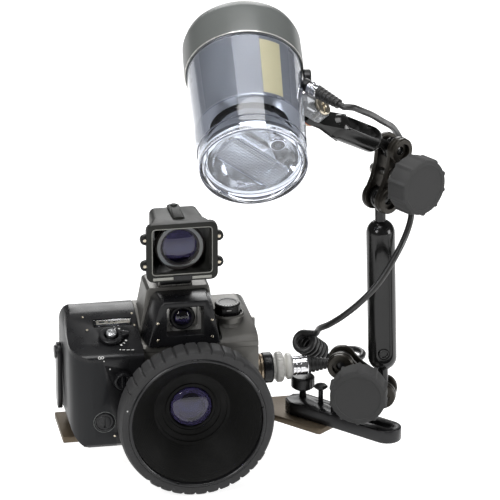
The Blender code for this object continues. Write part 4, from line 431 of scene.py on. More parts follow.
class Bench:
    """The modelling moves that every sub-assembly shares, made with Blender's operators."""

    @staticmethod
    def select_only(piece: Piece) -> None:
        """Leaves one object selected and active."""
        bpy.ops.object.select_all(action="DESELECT")
        piece.select_set(True)
        bpy.context.view_layer.objects.active = piece

    @staticmethod
    def draw(points: list[Vector]) -> Piece:
        """Starts from a small plane merged to one point and draws a chain of edges, left in edit mode."""
        bpy.ops.object.select_all(action="DESELECT")
        bpy.ops.mesh.primitive_plane_add(size=MM)
        piece = bpy.context.object
        Bench.open_up()
        bpy.ops.mesh.merge(type="CENTER")
        bpy.ops.transform.translate(value=points[0])
        for a, b in zip(points, points[1:]):
            bpy.ops.mesh.extrude_vertices_move(TRANSFORM_OT_translate={"value": b - a})
        bpy.ops.mesh.select_all(action="SELECT")
        return piece

    @staticmethod
    def open_up() -> None:
        """Enters edit mode with everything selected."""
        bpy.ops.object.mode_set(mode="EDIT")
        bpy.ops.mesh.select_all(action="SELECT")

    @staticmethod
    def close_up(piece: Piece) -> Piece:
        """Merges doubled points, turns the faces outwards and leaves edit mode."""
        bpy.ops.mesh.select_all(action="SELECT")
        bpy.ops.mesh.remove_doubles(threshold=WELD)
        bpy.ops.mesh.normals_make_consistent(inside=False)
        bpy.ops.object.mode_set(mode="OBJECT")
        return piece

    def turned(self, profile: Points, steps: int = 96, ease: float = 0.25) -> Piece:
        """A shape spun about Z from (radius, height) points, whose corners are eased.

        Args:
            profile: millimetres from the axis and along it. It starts and ends on the axis, or
                it is a ring's section and is closed here.
            steps: how many facets go round.
            ease: the rounding of the corners.

        Returns:
            The new object, at the origin.
        """
        ring = profile[0][0] > 0
        line = eased(profile, ease, looped=ring)
        if ring:
            line.append(line[0])
        piece = self.draw([mm(r, 0, h) for r, h in line])
        bpy.ops.mesh.spin(steps=steps, angle=math.tau, center=(0, 0, 0), axis=(0, 0, 1))
        return self.close_up(piece)

    def rod(self, radius: float, low: float, high: float, steps: int = 40) -> Piece:
        """A plain cylinder about Z, the tool for most bores."""
        return self.turned([(0, low), (radius, low), (radius, high), (0, high)], steps, 0)

    def raised(self, outline: Points, low: float, high: float, edge: float = 0.3,
               segments: int = 2) -> Piece:
        """An outline in X and Y raised from low to high, with its edges rounded."""
        piece = self.draw([mm(x, y, low) for x, y in outline])
        bpy.ops.mesh.edge_face_add()
        bpy.ops.mesh.extrude_region_move(TRANSFORM_OT_translate={"value": mm(0, 0, high - low)})
        self.close_up(piece)
        return self.edged(piece, edge, segments)

    def _closed_loop(self, ring: list[Vector]) -> Piece:
        """A line through the points of a ring, joined to its own start."""
        loop = self.draw(ring)
        bpy.ops.mesh.select_all(action="DESELECT")
        bpy.ops.object.mode_set(mode="OBJECT")
        for index in (0, len(ring) - 1):
            loop.data.vertices[index].select = True
        bpy.ops.object.mode_set(mode="EDIT")
        bpy.ops.mesh.edge_face_add()
        bpy.ops.object.mode_set(mode="OBJECT")
        return loop

    def lofted(self, rings: list[list[Vector]]) -> Piece:
        """A closed shape bridged from ring to ring of points, in metres, and filled at both ends."""
        bands = []
        for first, second in zip(rings, rings[1:]):
            band = self.joined([self._closed_loop(first), self._closed_loop(second)])
            self.open_up()
            bpy.ops.mesh.bridge_edge_loops()
            bpy.ops.object.mode_set(mode="OBJECT")
            bands.append(band)
        piece = self.joined(bands)
        Bench.open_up()
        bpy.ops.mesh.remove_doubles(threshold=WELD)
        bpy.ops.mesh.select_all(action="DESELECT")
        bpy.ops.mesh.select_non_manifold()
        bpy.ops.mesh.fill_holes(sides=0)
        return self.close_up(piece)

    def block(self, low: Triple, high: Triple,
              edge: float = 0.3) -> Piece:
        """A cube primitive sized between two corners in millimetres, with rounded edges."""
        bpy.ops.object.select_all(action="DESELECT")
        centre = [(a + b) / 2 * MM for a, b in zip(low, high)]
        bpy.ops.mesh.primitive_cube_add(size=1, location=centre)
        piece = bpy.context.object
        piece.scale = [(b - a) * MM for a, b in zip(low, high)]
        bpy.ops.object.transform_apply(location=True, rotation=True, scale=True)
        return self.edged(piece, edge)

    def edged(self, piece: Piece, width: float, segments: int = 2,
              angle: float = 35.0) -> Piece:
        """Rounds every edge sharper than the angle by a width in millimetres."""
        if width <= 0:
            return piece
        self.select_only(piece)
        bevel = piece.modifiers.new("edges", "BEVEL")
        bevel.width = width * MM
        bevel.segments = segments
        bevel.limit_method = "ANGLE"
        bevel.angle_limit = math.radians(angle)
        bpy.ops.object.modifier_apply(modifier=bevel.name)
        return piece

    def shaped(self, piece: Piece, tool: Piece, how: str = "DIFFERENCE",
               place: Matrix | None = None) -> Piece:
        """Cuts, joins or intersects a piece with a tool, which is used up."""
        if place is not None:
            self.put(tool, place)
        self.select_only(piece)
        step = piece.modifiers.new("shape", "BOOLEAN")
        step.operation = how
        step.solver = "EXACT"
        step.object = tool
        bpy.ops.object.modifier_apply(modifier=step.name)
        bpy.data.objects.remove(tool)
        return piece

    def knurled(self, piece: Piece, count: int, low: Triple, high: Triple) -> None:
        """Cuts the block between two corners out of a piece at each of so many turns about Z."""
        for k in range(count):
            turn = Matrix.Rotation(math.tau * k / count, 4, "Z")
            self.shaped(piece, self.block(low, high, 0), place=turn)

    def joined(self, pieces: list[Piece]) -> Piece:
        """Joins objects into the first of them."""
        self.select_only(pieces[0])
        for piece in pieces[1:]:
            piece.select_set(True)
        if len(pieces) > 1:
            bpy.ops.object.join()
        return pieces[0]

    def put(self, piece: Piece, place: Matrix) -> Piece:
        """Places a piece and applies the place to its mesh."""
        self.select_only(piece)
        piece.matrix_world = place @ piece.matrix_world
        bpy.ops.object.transform_apply(location=True, rotation=True, scale=True)
        return piece

    def refined(self, node: str, edge: float = 0.4, segments: int = 2,
                angle: float = 30.0) -> Piece:
        """A merged copy of a CAD node with its flat faces made whole and its edges rounded."""
        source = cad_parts[node]
        piece = source.copy()
        piece.data = source.data.copy()
        piece.parent = None
        for key in list(piece.keys()):
            del piece[key]
        bpy.context.scene.collection.objects.link(piece)
        self.select_only(piece)
        Bench.open_up()
        bpy.ops.mesh.remove_doubles(threshold=WELD)
        bpy.ops.mesh.customdata_custom_splitnormals_clear()
        bpy.ops.mesh.dissolve_limited(angle_limit=FLAT)
        bpy.ops.object.mode_set(mode="OBJECT")
        piece.data.materials.clear()
        return self.edged(piece, edge, segments, angle)

    def done(self, piece: Piece, name: str, finish: Finish, body: str,
             replaces: tuple[str, ...] = (), place: Matrix | None = None,
             smooth: float = 30.0) -> Piece:
        """Names, places, shades and paints a piece, and lets it ride on its body.

        Args:
            piece: the modelled object.
            name: the piece's name.
            finish: its surface finish.
            body: the CAD body that it moves with.
            replaces: CAD nodes that it stands for.
            place: where it goes, if it isn't in place yet.
            smooth: edges flatter than this angle are shaded smooth.

        Returns:
            The finished piece.
        """
        if place is not None:
            self.put(piece, place)
        self.select_only(piece)
        bpy.ops.object.shade_smooth_by_angle(angle=math.radians(smooth))
        piece.name = name
        piece.data.name = name
        piece.data.materials.clear()
        piece.data.materials.append(finish.material())
        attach(piece, body)
        if replaces:
            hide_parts(*replaces)
        LOG.info("%s rides on %s", name, body)
        return piece

    def screw(self, name: str, place: Matrix, radius: float, body: str, turn: float = 0.0) -> None:
        """A small bright cross-head screw, its head just proud of the surface at place."""
        head = self.turned([(0, -0.3), (radius, -0.3), (radius, 0.1), (radius * 0.7, 0.32), (0, 0.4)], 32,
            0.08)
        reach, half = radius * 0.62, 0.16
        for angle in (0, 90):
            cut = self.block((-reach, -half, 0.12), (reach, half, 1.0), 0)
            self.shaped(head, cut, place=spun(angle + turn))
        self.done(head, name, NICKEL, body, (), place)

    def dressed(self, node: str, name: str, finish: Finish, body: str, edge: float,
                segments: int = 2, angle: float = 30.0) -> None:
        """Stands a refined and painted copy of a CAD node in the node's place."""
        self.done(self.refined(node, edge, segments, angle), name, finish, body, (node,))

    def mark(self, name: str, body: str, place: Matrix, low: Triple, high: Triple,
             finish: Finish = WHITE_MARK) -> None:
        """A flat painted mark between two corners."""
        self.done(self.block(low, high, 0), name, finish, body, (), place)

    def dot(self, name: str, place: Matrix, radius: float, body: str) -> None:
        """A round painted dot."""
        disc = self.turned([(0, -0.05), (radius, -0.05), (radius, 0.08), (0, 0.1)], 24, 0)
        self.done(disc, name, WHITE_MARK, body, (), place)


BENCH = Bench()


@dataclass
class Studio:
    """Camera, floor, world and lamps, none of them part of the object."""

    target: Triple = (53.8, -47.6, 179.6)
    toward: Triple = (-0.161, -0.913, 0.375)
    distance: float = 4000.0
    frame_width: float = 430.0
    sensor: float = 36.0
    floor_drop: float = 0.6
    floor_side: float = 12.0
    floor_tone: float = 0.62
    floor_glow: float = 0.86
    sky_light: float = 0.13

    def build(self) -> None:
        """Sets up everything round the object."""
        self._camera()
        self._world()
        self._floor()
        self._lamps()
        bpy.context.scene.view_settings.view_transform = "Standard"

    def _camera(self) -> None:
        """A long lens at the photograph's angle."""
        data = bpy.data.cameras.new("view")
        data.sensor_width = self.sensor
        data.lens = self.sensor * self.distance / self.frame_width
        data.clip_end = 100.0
        eye = added("view", data)
        toward = Vector(self.toward).normalized()
        eye.location = mm(*self.target) + toward * self.distance * MM
        aimed(eye, -toward)
        bpy.context.scene.camera = eye

    @staticmethod
    def _seen_or_mirrored(tree: Tree) -> Socket:
        """One for rays of the camera, of mirrors and of glass, zero for light on the object."""
        path = tree.nodes.new("ShaderNodeLightPath")
        total = path.outputs["Is Camera Ray"]
        for name in ("Is Glossy Ray", "Is Transmission Ray"):
            total = combined(tree, "MAXIMUM", total, path.outputs[name])
        return total

    def _world(self) -> None:
        """White where it is seen, dimmer and greyer above as light."""
        world = bpy.data.worlds.new("studio")
        world.use_nodes = True
        bpy.context.scene.world = world
        tree = world.node_tree
        glow = tree.nodes["Background"]
        glow.inputs["Color"].default_value = (1, 1, 1, 1)
        strength = tree.nodes.new("ShaderNodeMapRange")
        preset(strength, To_Min=self.sky_light, To_Max=1.0)
        path = tree.nodes.new("ShaderNodeLightPath")
        tree.links.new(path.outputs["Is Camera Ray"], strength.inputs["Value"])
        tree.links.new(strength.outputs["Result"], glow.inputs["Strength"])

    def _floor(self) -> None:
        """A white floor whose lit part and glow add up to white, so that shadows stay on it."""
        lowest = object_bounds()[0].z - self.floor_drop * MM
        bpy.ops.object.select_all(action="DESELECT")
        bpy.ops.mesh.primitive_plane_add(size=self.floor_side, location=(0, 0, lowest))
        floor = bpy.context.object
        floor.name = "floor"
        paint = bpy.data.materials.new("floor_white")
        paint.use_nodes = True
        tree = paint.node_tree
        shader = tree.nodes["Principled BSDF"]
        tone = self.floor_tone
        preset(shader, Base_Color=(tone, tone, tone, 1), Roughness=1.0, Specular_IOR_Level=0.0)
        glow = tree.nodes.new("ShaderNodeEmission")
        level = tree.nodes.new("ShaderNodeMath")
        level.operation = "MULTIPLY"
        level.inputs[1].default_value = self.floor_glow
        tree.links.new(self._seen_or_mirrored(tree), level.inputs[0])
        tree.links.new(level.outputs["Value"], glow.inputs["Strength"])
        both = tree.nodes.new("ShaderNodeAddShader")
        tree.links.new(shader.outputs["BSDF"], both.inputs[0])
        tree.links.new(glow.outputs["Emission"], both.inputs[1])
        tree.links.new(both.outputs["Shader"], tree.nodes["Material Output"].inputs["Surface"])
        floor.data.materials.append(paint)
        floor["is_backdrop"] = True

    def _lamps(self) -> None:
        """Soft boxes above and behind, a key at the upper left and a strip at the right."""
        lamps = (
            ("top_box", (60, -200, 1150), 9.0, 700.0),
            ("key_box", (-800, -900, 900), 8.5, 450.0),
            ("side_strip", (1000, -450, 350), 4.0, 350.0),
            ("back_box", (200, 1100, 700), 6.0, 700.0),
        )
        for name, place, power, size in lamps:
            data = bpy.data.lights.new(name, "AREA")
            data.energy = power
            data.size = size * MM
            lamp = added(name, data)
            lamp.location = mm(*place)
            aimed(lamp, mm(*self.target) - lamp.location)


@dataclass
class SyncCord:
    """The cord from the strobe's plug past the clamps to the coil, and from the coil to the camera."""

    radius: float = 2.75
    sides: int = 20
    coil_start: Triple = (108.7, -2.0, 71.3)
    coil_axis: Triple = (0.547, 0.573, -0.610)
    coil_radius: float = 7.9
    coil_turns: float = 5.67
    coil_pitch: float = 6.4
    coil_points: int = 9
    fine_steps: int = 3
    curve_steps: int = 20
    spacing: float = 0.8
    upper_route: tuple[Triple, ...] = (
        (128.5, -119.0, 331.4), (139.1, -108.0, 323.4), (151.1, -90.0, 312.5),
        (164.0, -66.0, 298.0), (174.0, -44.0, 286.2), (180.3, -32.0, 279.0),
        (186.0, -23.0, 270.5), (191.0, -19.0, 261.0), (194.5, -20.0, 251.0),
        (196.0, -25.0, 240.0), (196.2, -30.0, 227.0), (196.4, -36.0, 213.2),
        (195.7, -44.0, 198.9), (187.4, -57.0, 185.1), (175.0, -68.0, 169.0),
        (160.9, -74.0, 151.1), (146.2, -73.0, 135.0), (132.9, -64.0, 119.3),
        (123.2, -50.0, 106.1), (118.0, -32.0, 95.0),
    )
    lower_route: tuple[Triple, ...] = (
        (145.0, -15.0, 54.0), (157.0, -12.0, 54.8), (163.0, -3.0, 55.5),
        (159.0, 8.0, 55.5), (148.0, 13.0, 54.0),
    )
    spans: tuple[tuple[str, str, float, float], ...] = (
        ("strobe", "short_arm", 0.0, 0.14),
        ("short_arm", "upper_clamp", 0.14, 0.36),
        ("upper_clamp", "long_arm", 0.36, 0.56),
        ("long_arm", "lower_clamp", 0.56, 0.80),
        ("lower_clamp", "camera", 0.80, 1.0),
    )

    def build(self) -> None:
        """Makes the five stretches, the coil and the short stretch to the camera."""
        coil = self._coil()
        near, far = (coil[0] - coil[1]).normalized(), (coil[-1] - coil[-2]).normalized()
        axis = Vector(PLUG_AXIS).normalized()
        start = mm(*PLUG_SEAT) + axis * (PLUG_LONG + GAP) * MM
        upper = self._smooth(start, axis, self.upper_route, coil[0] + near * GAP * MM, near)
        for index, (first, second, low, high) in enumerate(self.spans):
            a, b = round(low * (len(upper) - 1)), round(high * (len(upper) - 1))
            stretch = upper[a : b + 1]
            name = f"cord_stretch_{index + 1}"
            piece = self._tube(name, stretch)
            self._declare("cord_upper")
            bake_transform(piece)
        piece = self._tube("cord_curl", coil)
        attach(piece, "camera")
        self._declare("cord_coil")
        exit_at = mm(RELIEF_END + GAP, CONNECTOR_Y, CONNECTOR_Z)
        lower = self._smooth(exit_at, RIGHT, self.lower_route, coil[-1] + far * GAP * MM,
            far)
        piece = self._tube("cord_tail", lower)
        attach(piece, "camera")
        self._declare("cord_lower")

    def _declare(self, node: str) -> None:
        """Hides the CAD node that a stretch stands for."""
        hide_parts(node)

    def _coil(self) -> list[Vector]:
        """The curly part's centre line, an unbroken helix with straight ends."""
        place = frame_at(mm(*self.coil_start), Vector(self.coil_axis), UP)
        per_turn = self.coil_points * self.fine_steps
        count = round(self.coil_turns * self.coil_points) * self.fine_steps
        line = []
        for i in range(count + 1):
            a = math.tau * i / per_turn
            line.append(place @ mm(self.coil_radius * math.cos(a), -self.coil_radius * math.sin(a),
                self.coil_pitch * i / per_turn))
        lead = 2 * self.radius * MM
        first = (line[0] - line[1]).normalized()
        last = (line[-1] - line[-2]).normalized()
        return [line[0] + first * lead] + line + [line[-1] + last * lead]

    def _smooth(self, start: Vector, start_way: Vector, middle: tuple, end: Vector,
                end_way: Vector) -> list[Vector]:
        """The route's points read from one smooth curve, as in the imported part."""
        lead = 2 * self.radius * MM
        knots = [start, start + start_way * lead, *(mm(*p) for p in middle), end + end_way * lead, end]
        spacing = self.spacing * lead
        fine = []
        for p0, p1, p2, p3 in zip(knots, knots[1:], knots[2:], knots[3:]):
            for t in (i / self.curve_steps for i in range(self.curve_steps)):
                fine.append(0.5 * (2 * p1 + (p2 - p0) * t + (2 * p0 - 5 * p1 + 4 * p2 - p3) * t**2
                                   + (3 * p1 - p0 - 3 * p2 + p3) * t**3))
        fine.append(knots[-2])
        along = [0.0]
        for a, b in zip(fine, fine[1:]):
            along.append(along[-1] + (b - a).length)
        count = round(along[-1] / spacing)
        points, at = [start], 0
        for wanted in (along[-1] * i / count for i in range(count + 1)):
            while at < len(fine) - 2 and along[at + 1] < wanted:
                at += 1
            share = (wanted - along[at]) / (along[at + 1] - along[at])
            points.append(fine[at].lerp(fine[at + 1], share))
        return points + [end]

    def _tube(self, name: str, path: list[Vector]) -> Piece:
        """A round tube along the path, bevelled from a curve and made a mesh."""
        curve = bpy.data.curves.new(name, "CURVE")
        curve.dimensions = "3D"
        curve.bevel_depth = self.radius * MM
        curve.bevel_resolution = self.sides // 4
        curve.use_fill_caps = True
        spline = curve.splines.new("POLY")
        spline.points.add(len(path) - 1)
        for point, at in zip(spline.points, path):
            point.co = (*at, 1)
        Bench.select_only(added(name, curve))
        bpy.ops.object.convert(target="MESH")
        piece = bpy.context.object
        bpy.ops.object.mode_set(mode="EDIT")
        Bench.close_up(piece)
        bpy.ops.object.shade_smooth_by_angle(angle=math.radians(50))
        piece.data.materials.append(CORD_BLACK.material())
        return piece


@dataclass
class ConversionLens:
    """The wide lens on the front: ribbed ring, bezel, conical hood, glass and barrel."""

    body: str = "conversion_lens"
    front_y: float = -95.0
    ring_radius: float = 68.5
    ring_long: float = 19.5
    rib_high: float = 2.0
    rib_count: int = 11
    rib_half_arc: float = 50.0
    rib_middle: float = 102.0
    rim_radius: float = 57.0
    seat_radius: float = 59.9
    hood_deep: float = 31.0
    eye_radius: float = 18.5
    cone_foot: float = 33.5
    barrel_bore: float = 44.16
    barrel_radius: float = 47.16
    mount_radius: float = 39.5
    mount_end: float = -44.7
    plain_drop: float = 0.8
    plain_steps: int = 24
    dot_angle: float = 165.0
    dot_inset: float = 5.2

    def build(self) -> None:
        """Models and dresses the five pieces and the details on them."""
        place = looking_out(0, self.front_y, LENS_AXIS_Z)
        self._grip_ring(place)
        self._bezel(place)
        self._hood(place)
        self._glass(place)
        self._barrel(place)

    def _ring_outline(self) -> Points:
        """The ring's outer edge with its two arcs of sloping ribs."""
        outline: Points = []
        pitch = 2 * self.rib_half_arc / self.rib_count
        shares = ((0.0, -self.rib_high), (0.05, -self.rib_high * 0.35), (0.13, -0.15), (0.25, 0.0),
            (0.5, 0.0), (0.78, -0.1), (0.88, -0.5), (0.95, -self.rib_high * 0.85))
        for middle in (self.rib_middle, self.rib_middle + 180):
            for i in range(self.rib_count):
                for share, drop in shares:
                    a = math.radians(middle - self.rib_half_arc + (i + share) * pitch)
                    r = self.ring_radius + drop
                    outline.append((r * math.cos(a), r * math.sin(a)))
            rest = 180 - 2 * self.rib_half_arc
            for k in range(self.plain_steps):
                a = math.radians(middle + self.rib_half_arc + rest * k / self.plain_steps)
                r = self.ring_radius - self.plain_drop
                outline.append((r * math.cos(a), r * math.sin(a)))
        return outline

    def _grip_ring(self, place: Matrix) -> None:
        """Rubber ring: chamfered front, ribs along its length, a bore and an index dot."""
        outline = self._ring_outline()
        rings = []
        for scale, height in ((0.962, 0.0), (0.975, -0.4), (0.994, -2.6), (1.0, -4.0), (1.0, -18.6),
                              (0.988, -self.ring_long)):
            rings.append([mm(x * scale, y * scale, height) for x, y in outline])
        ring = BENCH.lofted(rings)
        BENCH.shaped(ring, BENCH.rod(self.seat_radius + GAP, -30, 10, 128))
        BENCH.done(ring, "ribbed_grip_ring", RING_RUBBER, self.body, ("lens_grip_ring",),
                   place, 24)
        dot = BENCH.turned([(0, 0.02), (0.75, 0.02), (0.75, 0.12), (0, 0.12)], 24, 0.05)
        a = math.radians(self.dot_angle)
        r = self.ring_radius - self.dot_inset
        BENCH.done(dot, "ring_index_dot", WHITE_MARK, self.body, (),
                   place @ moved(r * math.cos(a), r * math.sin(a), 0))

    def _bezel(self, place: Matrix) -> None:
        """The black retaining ring with its three spanner notches."""
        r, seat = self.rim_radius, self.seat_radius
        bezel = BENCH.turned([(r, -6.0), (seat, -6.0), (seat, 0.4), (seat - 0.9, 1.2), (r + 0.8, 1.2),
            (r, 0.4)], 160, 0.15)
        for angle in (12, 132, 252):
            turn = place @ spun(angle)
            BENCH.shaped(bezel, BENCH.block((r - 2.0, -1.2, -0.6), (r + 1.3, 1.2, 5.0), 0),
                place=place.inverted() @ turn)
        BENCH.done(bezel, "retaining_ring", SATIN_BLACK, self.body, ("lens_retaining_ring",),
            place)

    def _hood(self, place: Matrix) -> None:
        """The flat black cone with fine steps round the front element."""
        r, deep, eye = self.rim_radius - 0.3, self.hood_deep, self.eye_radius
        profile: Points = [(r, -3.5)]
        grooves = 16
        for i in range(1, grooves):
            t = i / grooves
            x, z = r + (self.cone_foot - r) * t, -3.5 - (deep - 3.5) * t
            profile += [(x + 0.10, z), (x - 0.10, z - 0.05)]
        profile += [(self.cone_foot, -deep), (31.0, -deep - 0.6), (31.0, -deep - 2.2), (26.0, -deep - 2.8),
                    (26.0, -deep - 4.4), (22.6, -deep - 4.8), (22.4, -deep - 3.9), (21.2, -deep - 3.9),
                    (21.0, -deep - 4.9), (eye + 1.0, -deep - 5.0), (eye, -deep - 5.8), (eye, -deep - 12.0),
                    (35.9, -deep - 12.0), (35.9, -30.7), (43.56, -30.7), (43.56, -20.5),
                    (self.seat_radius, -20.5), (self.seat_radius, -6.4), (r, -6.4)]
        hood = BENCH.turned(profile, 160, 0.12)
        BENCH.done(hood, "cone_hood", HOOD_BLACK, self.body, ("lens_hood",), place, 20)

    def _glass(self, place: Matrix) -> None:
        """The domed front element with a dark coated element and rings behind it."""
        e, deep = self.eye_radius - 0.3, self.hood_deep
        dome = [(0, -deep - 1.0)]
        dome += [(e * math.sin(math.radians(a)), -deep - 6.0 + 5.0 * math.cos(math.radians(a)))
                 for a in range(3, 91, 3)]
        inner = [(e, -deep - 7.0), (e - 1.6, -deep - 7.0), (11.0, -deep - 4.4), (0, -deep - 3.4)]
        shell = BENCH.turned(dome + inner, 160, 0)
        BENCH.done(shell, "front_element", VIOLET_GLASS, self.body,
            ("lens_front_element",), place, 60)
        cell = BENCH.turned([(0, -deep - 11.8), (e, -deep - 11.8), (e, -deep - 7.3), (15.5, -deep - 7.3),
            (15.2, -deep - 7.8), (13.4, -deep - 8.0), (13.2, -deep - 7.5), (11.8, -deep - 7.7),
            (11.5, -deep - 9.3), (0, -deep - 9.3)], 96, 0.1)
        BENCH.done(cell, "front_cell_rings", GLOSS_BLACK, self.body, ("lens_front_element",),
            place)
        second = BENCH.turned([(0, -deep - 5.6), (4.0, -deep - 5.9), (8.0, -deep - 7.1),
            (11.2, -deep - 9.1), (0, -deep - 9.1)], 72, 0)
        BENCH.done(second, "second_element", DARK_OPTICAL, self.body, (), place, 60)

    def _barrel(self, place: Matrix) -> None:
        """The barrel between the ring and the camera, with a sunken band."""
        bore, r, mount, end = self.barrel_bore, self.barrel_radius, self.mount_radius, self.mount_end
        barrel = BENCH.turned([(bore, -20.8), (46.16, -20.8), (r, -21.9), (r, -26.0), (46.5, -26.4),
            (46.5, -30.6), (r, -31.0), (r, -32.4), (45.2, -34.4), (mount, -34.4), (mount, end),
            (20.0, end), (20.0, -43.3), (36.5, -43.3), (36.5, -31.0), (bore, -31.0)], 128, 0.2)
        BENCH.done(barrel, "lens_body_barrel", SATIN_BLACK, self.body, ("lens_barrel",), place)


@dataclass
class CameraBody:
    """The camera itself: castings, grip, finder block, controls, door, latch and shoe."""

    body: str = "camera"
    front: float = -50.0
    grip_front: float = -60.0
    ridge_y: float = 2.0
    ridge_z: float = 113.5
    slope: float = 0.30
    button: tuple[float, float] = (-66.0, -36.0)
    counter: tuple[float, float] = (-62.2, -16.5)
    focus: tuple[float, float] = (-60.0, 72.0)
    cap: tuple[float, float] = (-76.0, 33.0)
    dial: Triple = (38.8, -20.0, 121.0)
    window: tuple[float, float] = (-4.0, 120.0)
    dial_radius: float = 11.2
    dial_teeth: int = 30
    dial_front_arc: float = 44.0

    def build(self) -> None:
        """Models and dresses the camera."""
        self._castings()
        self._grip()
        self._counter()
        self._shutter()
        self._focus_and_cap()
        self._dial()
        self._finder_block()
        self._film_side()

    def _on_top(self, x: float, y: float, lift: float = 0.0) -> Matrix:
        """A frame standing on the sloping top."""
        normal = Vector((0, -self.slope, 1)).normalized()
        height = self.ridge_z - self.slope * max(0.0, self.ridge_y - y)
        return frame_at(mm(x, y, height) + normal * lift * MM, normal)

    def _castings(self) -> None:
        """Body and top castings, with a step on the front and the ring round the dial's boss."""
        BENCH.dressed("body_shell", "body_casting", GUNMETAL, self.body, 0.5)
        BENCH.dressed("top_cover", "top_casting", GUNMETAL, self.body, 0.9, 3)
        step = BENCH.block((-38.0, -50.5, 91.2), (-28.0, -49.9, 97.0), 0.25)
        BENCH.done(step, "casting_step", GUNMETAL, self.body)
        collar = BENCH.turned([(12.9, -11.2), (14.9, -11.2), (14.9, -10.3), (13.6, -8.6), (12.9, -8.6)], 72,
            0.2)
        BENCH.done(collar, "dial_boss_ring", GUNMETAL, self.body, (),
                   moved(*self.dial))

    def _grip(self) -> None:
        """The moulded grip with its screws and painted marks."""
        BENCH.dressed("grip_cover", "grip_moulding", GRIP_TWO_TONE, self.body, 0.8, 3)
        for index, (x, y) in enumerate(((-86.8, -7.7), (-43.6, -6.8), (-85.4, -24.6), (-43.4, -22.4))):
            BENCH.screw(f"grip_top_screw_{index + 1}", self._on_top(x, y), 1.15, self.body, turn=25 * index)
        BENCH.screw("grip_front_screw", looking_out(-67.2, self.grip_front, 19.5), 1.15, self.body, turn=40)
        edge = frame_at(mm(-78.3, -58.62, 93.1), Vector((0, -0.8, 0.6)))
        for index, x in enumerate((-1.25, 1.25)):
            loop = BENCH.turned([(0.85, 0.0), (1.35, 0.0), (1.35, 0.12), (0.85, 0.12)], 28, 0)
            BENCH.done(loop, f"far_mark_{index + 1}", WHITE_MARK, self.body, (),
                       edge @ moved(x, 0, 0))
        BENCH.dot("far_dot", frame_at(mm(-75.9, -59.92, 90.2), Vector((0, -0.98, 0.2))), 0.55, self.body)
        BENCH.dot("near_dot", self._on_top(-60.6, -52.7), 0.6, self.body)
        for index, (x, y, wide) in enumerate(((-57.6, -53.4, 2.2), (-53.9, -53.8, 3.0), (-50.0, -54.2, 2.4))):
            BENCH.mark(f"range_mark_{index + 1}", self.body, self._on_top(x, y), (-wide / 2, -0.3, 0.0),
                (wide / 2, 0.3, 0.12))

    def _counter(self) -> None:
        """The slot window on top of the grip, with a pale scale in it."""
        place = self._on_top(*self.counter)
        tray = BENCH.block((-16.7, -5.2, -2.7), (16.7, 5.2, -1.6), 0.1)
        BENCH.done(tray, "counter_tray", GLOSS_BLACK, self.body, ("counter_window",), place)
        scale = BENCH.block((-13.6, -0.6, -1.6), (15.6, 4.4, -1.35), 0.05)
        BENCH.done(scale, "counter_scale", NICKEL, self.body, (), place)
        for index, (x, wide) in enumerate(((-9.0, 5.0), (-2.5, 2.2), (2.0, 1.2))):
            BENCH.mark(f"counter_mark_{index + 1}", self.body, place, (x - wide / 2, 1.0, -1.36),
                (x + wide / 2, 2.6, -1.25), GLOSS_BLACK)
        glass = BENCH.block((-16.6, -5.1, -1.15), (16.6, 5.1, -0.65), 0.1)
        BENCH.done(glass, "counter_glass", CLEAR_PLASTIC, self.body, (), place)

    def _shutter(self) -> None:
        """Chrome button in its black ring, with the lever's tab and painted marks."""
        place = self._on_top(*self.button)
        button = BENCH.turned([(0, -4.5), (3.6, -4.5), (3.6, 2.6), (4.7, 3.0), (4.7, 5.2), (4.0, 6.0),
            (2.6, 5.8), (1.2, 5.5), (0, 5.45)], 64, 0.25)
        BENCH.done(button, "release_button", BUTTON_SATIN, "shutter_button", ("shutter_button",),
            place)
        for index, angle in enumerate((70, 110, 250, 290)):
            BENCH.mark(f"button_mark_{index + 1}", "shutter_button", place @ spun(angle),
                (1.5, -0.22, 5.78), (2.9, 0.22, 5.92), GLOSS_BLACK)
        collar = BENCH.turned([(5.8, 0.4), (11.0, 0.4), (11.0, 2.2), (10.0, 3.0), (6.8, 3.0), (5.8, 1.8)],
            72, 0.2)
        tab = BENCH.raised([(8.5, -3.5), (15.0, -2.2), (15.8, 1.8), (8.5, 4.2)], 0.5, 4.2, 0.5, 3)
        BENCH.shaped(collar, tab, "UNION")
        BENCH.done(collar, "power_ring", GLOSS_BLACK, "power_lever", ("power_lever",), place)
        for index, (angle, wide) in enumerate(((52, 2.6), (34, 1.6), (-26, 2.4), (-42, 1.6), (-58, 2.6))):
            BENCH.mark(f"lever_mark_{index + 1}", self.body, place @ spun(angle),
                (13.0 if angle > 0 else 12.6, -wide / 3.4, 0.0), (14.4, wide / 3.4, 0.12))
        BENCH.mark("lever_line", "power_lever", place @ spun(60), (6.8, -0.25, 2.98), (9.6, 0.25, 3.1))

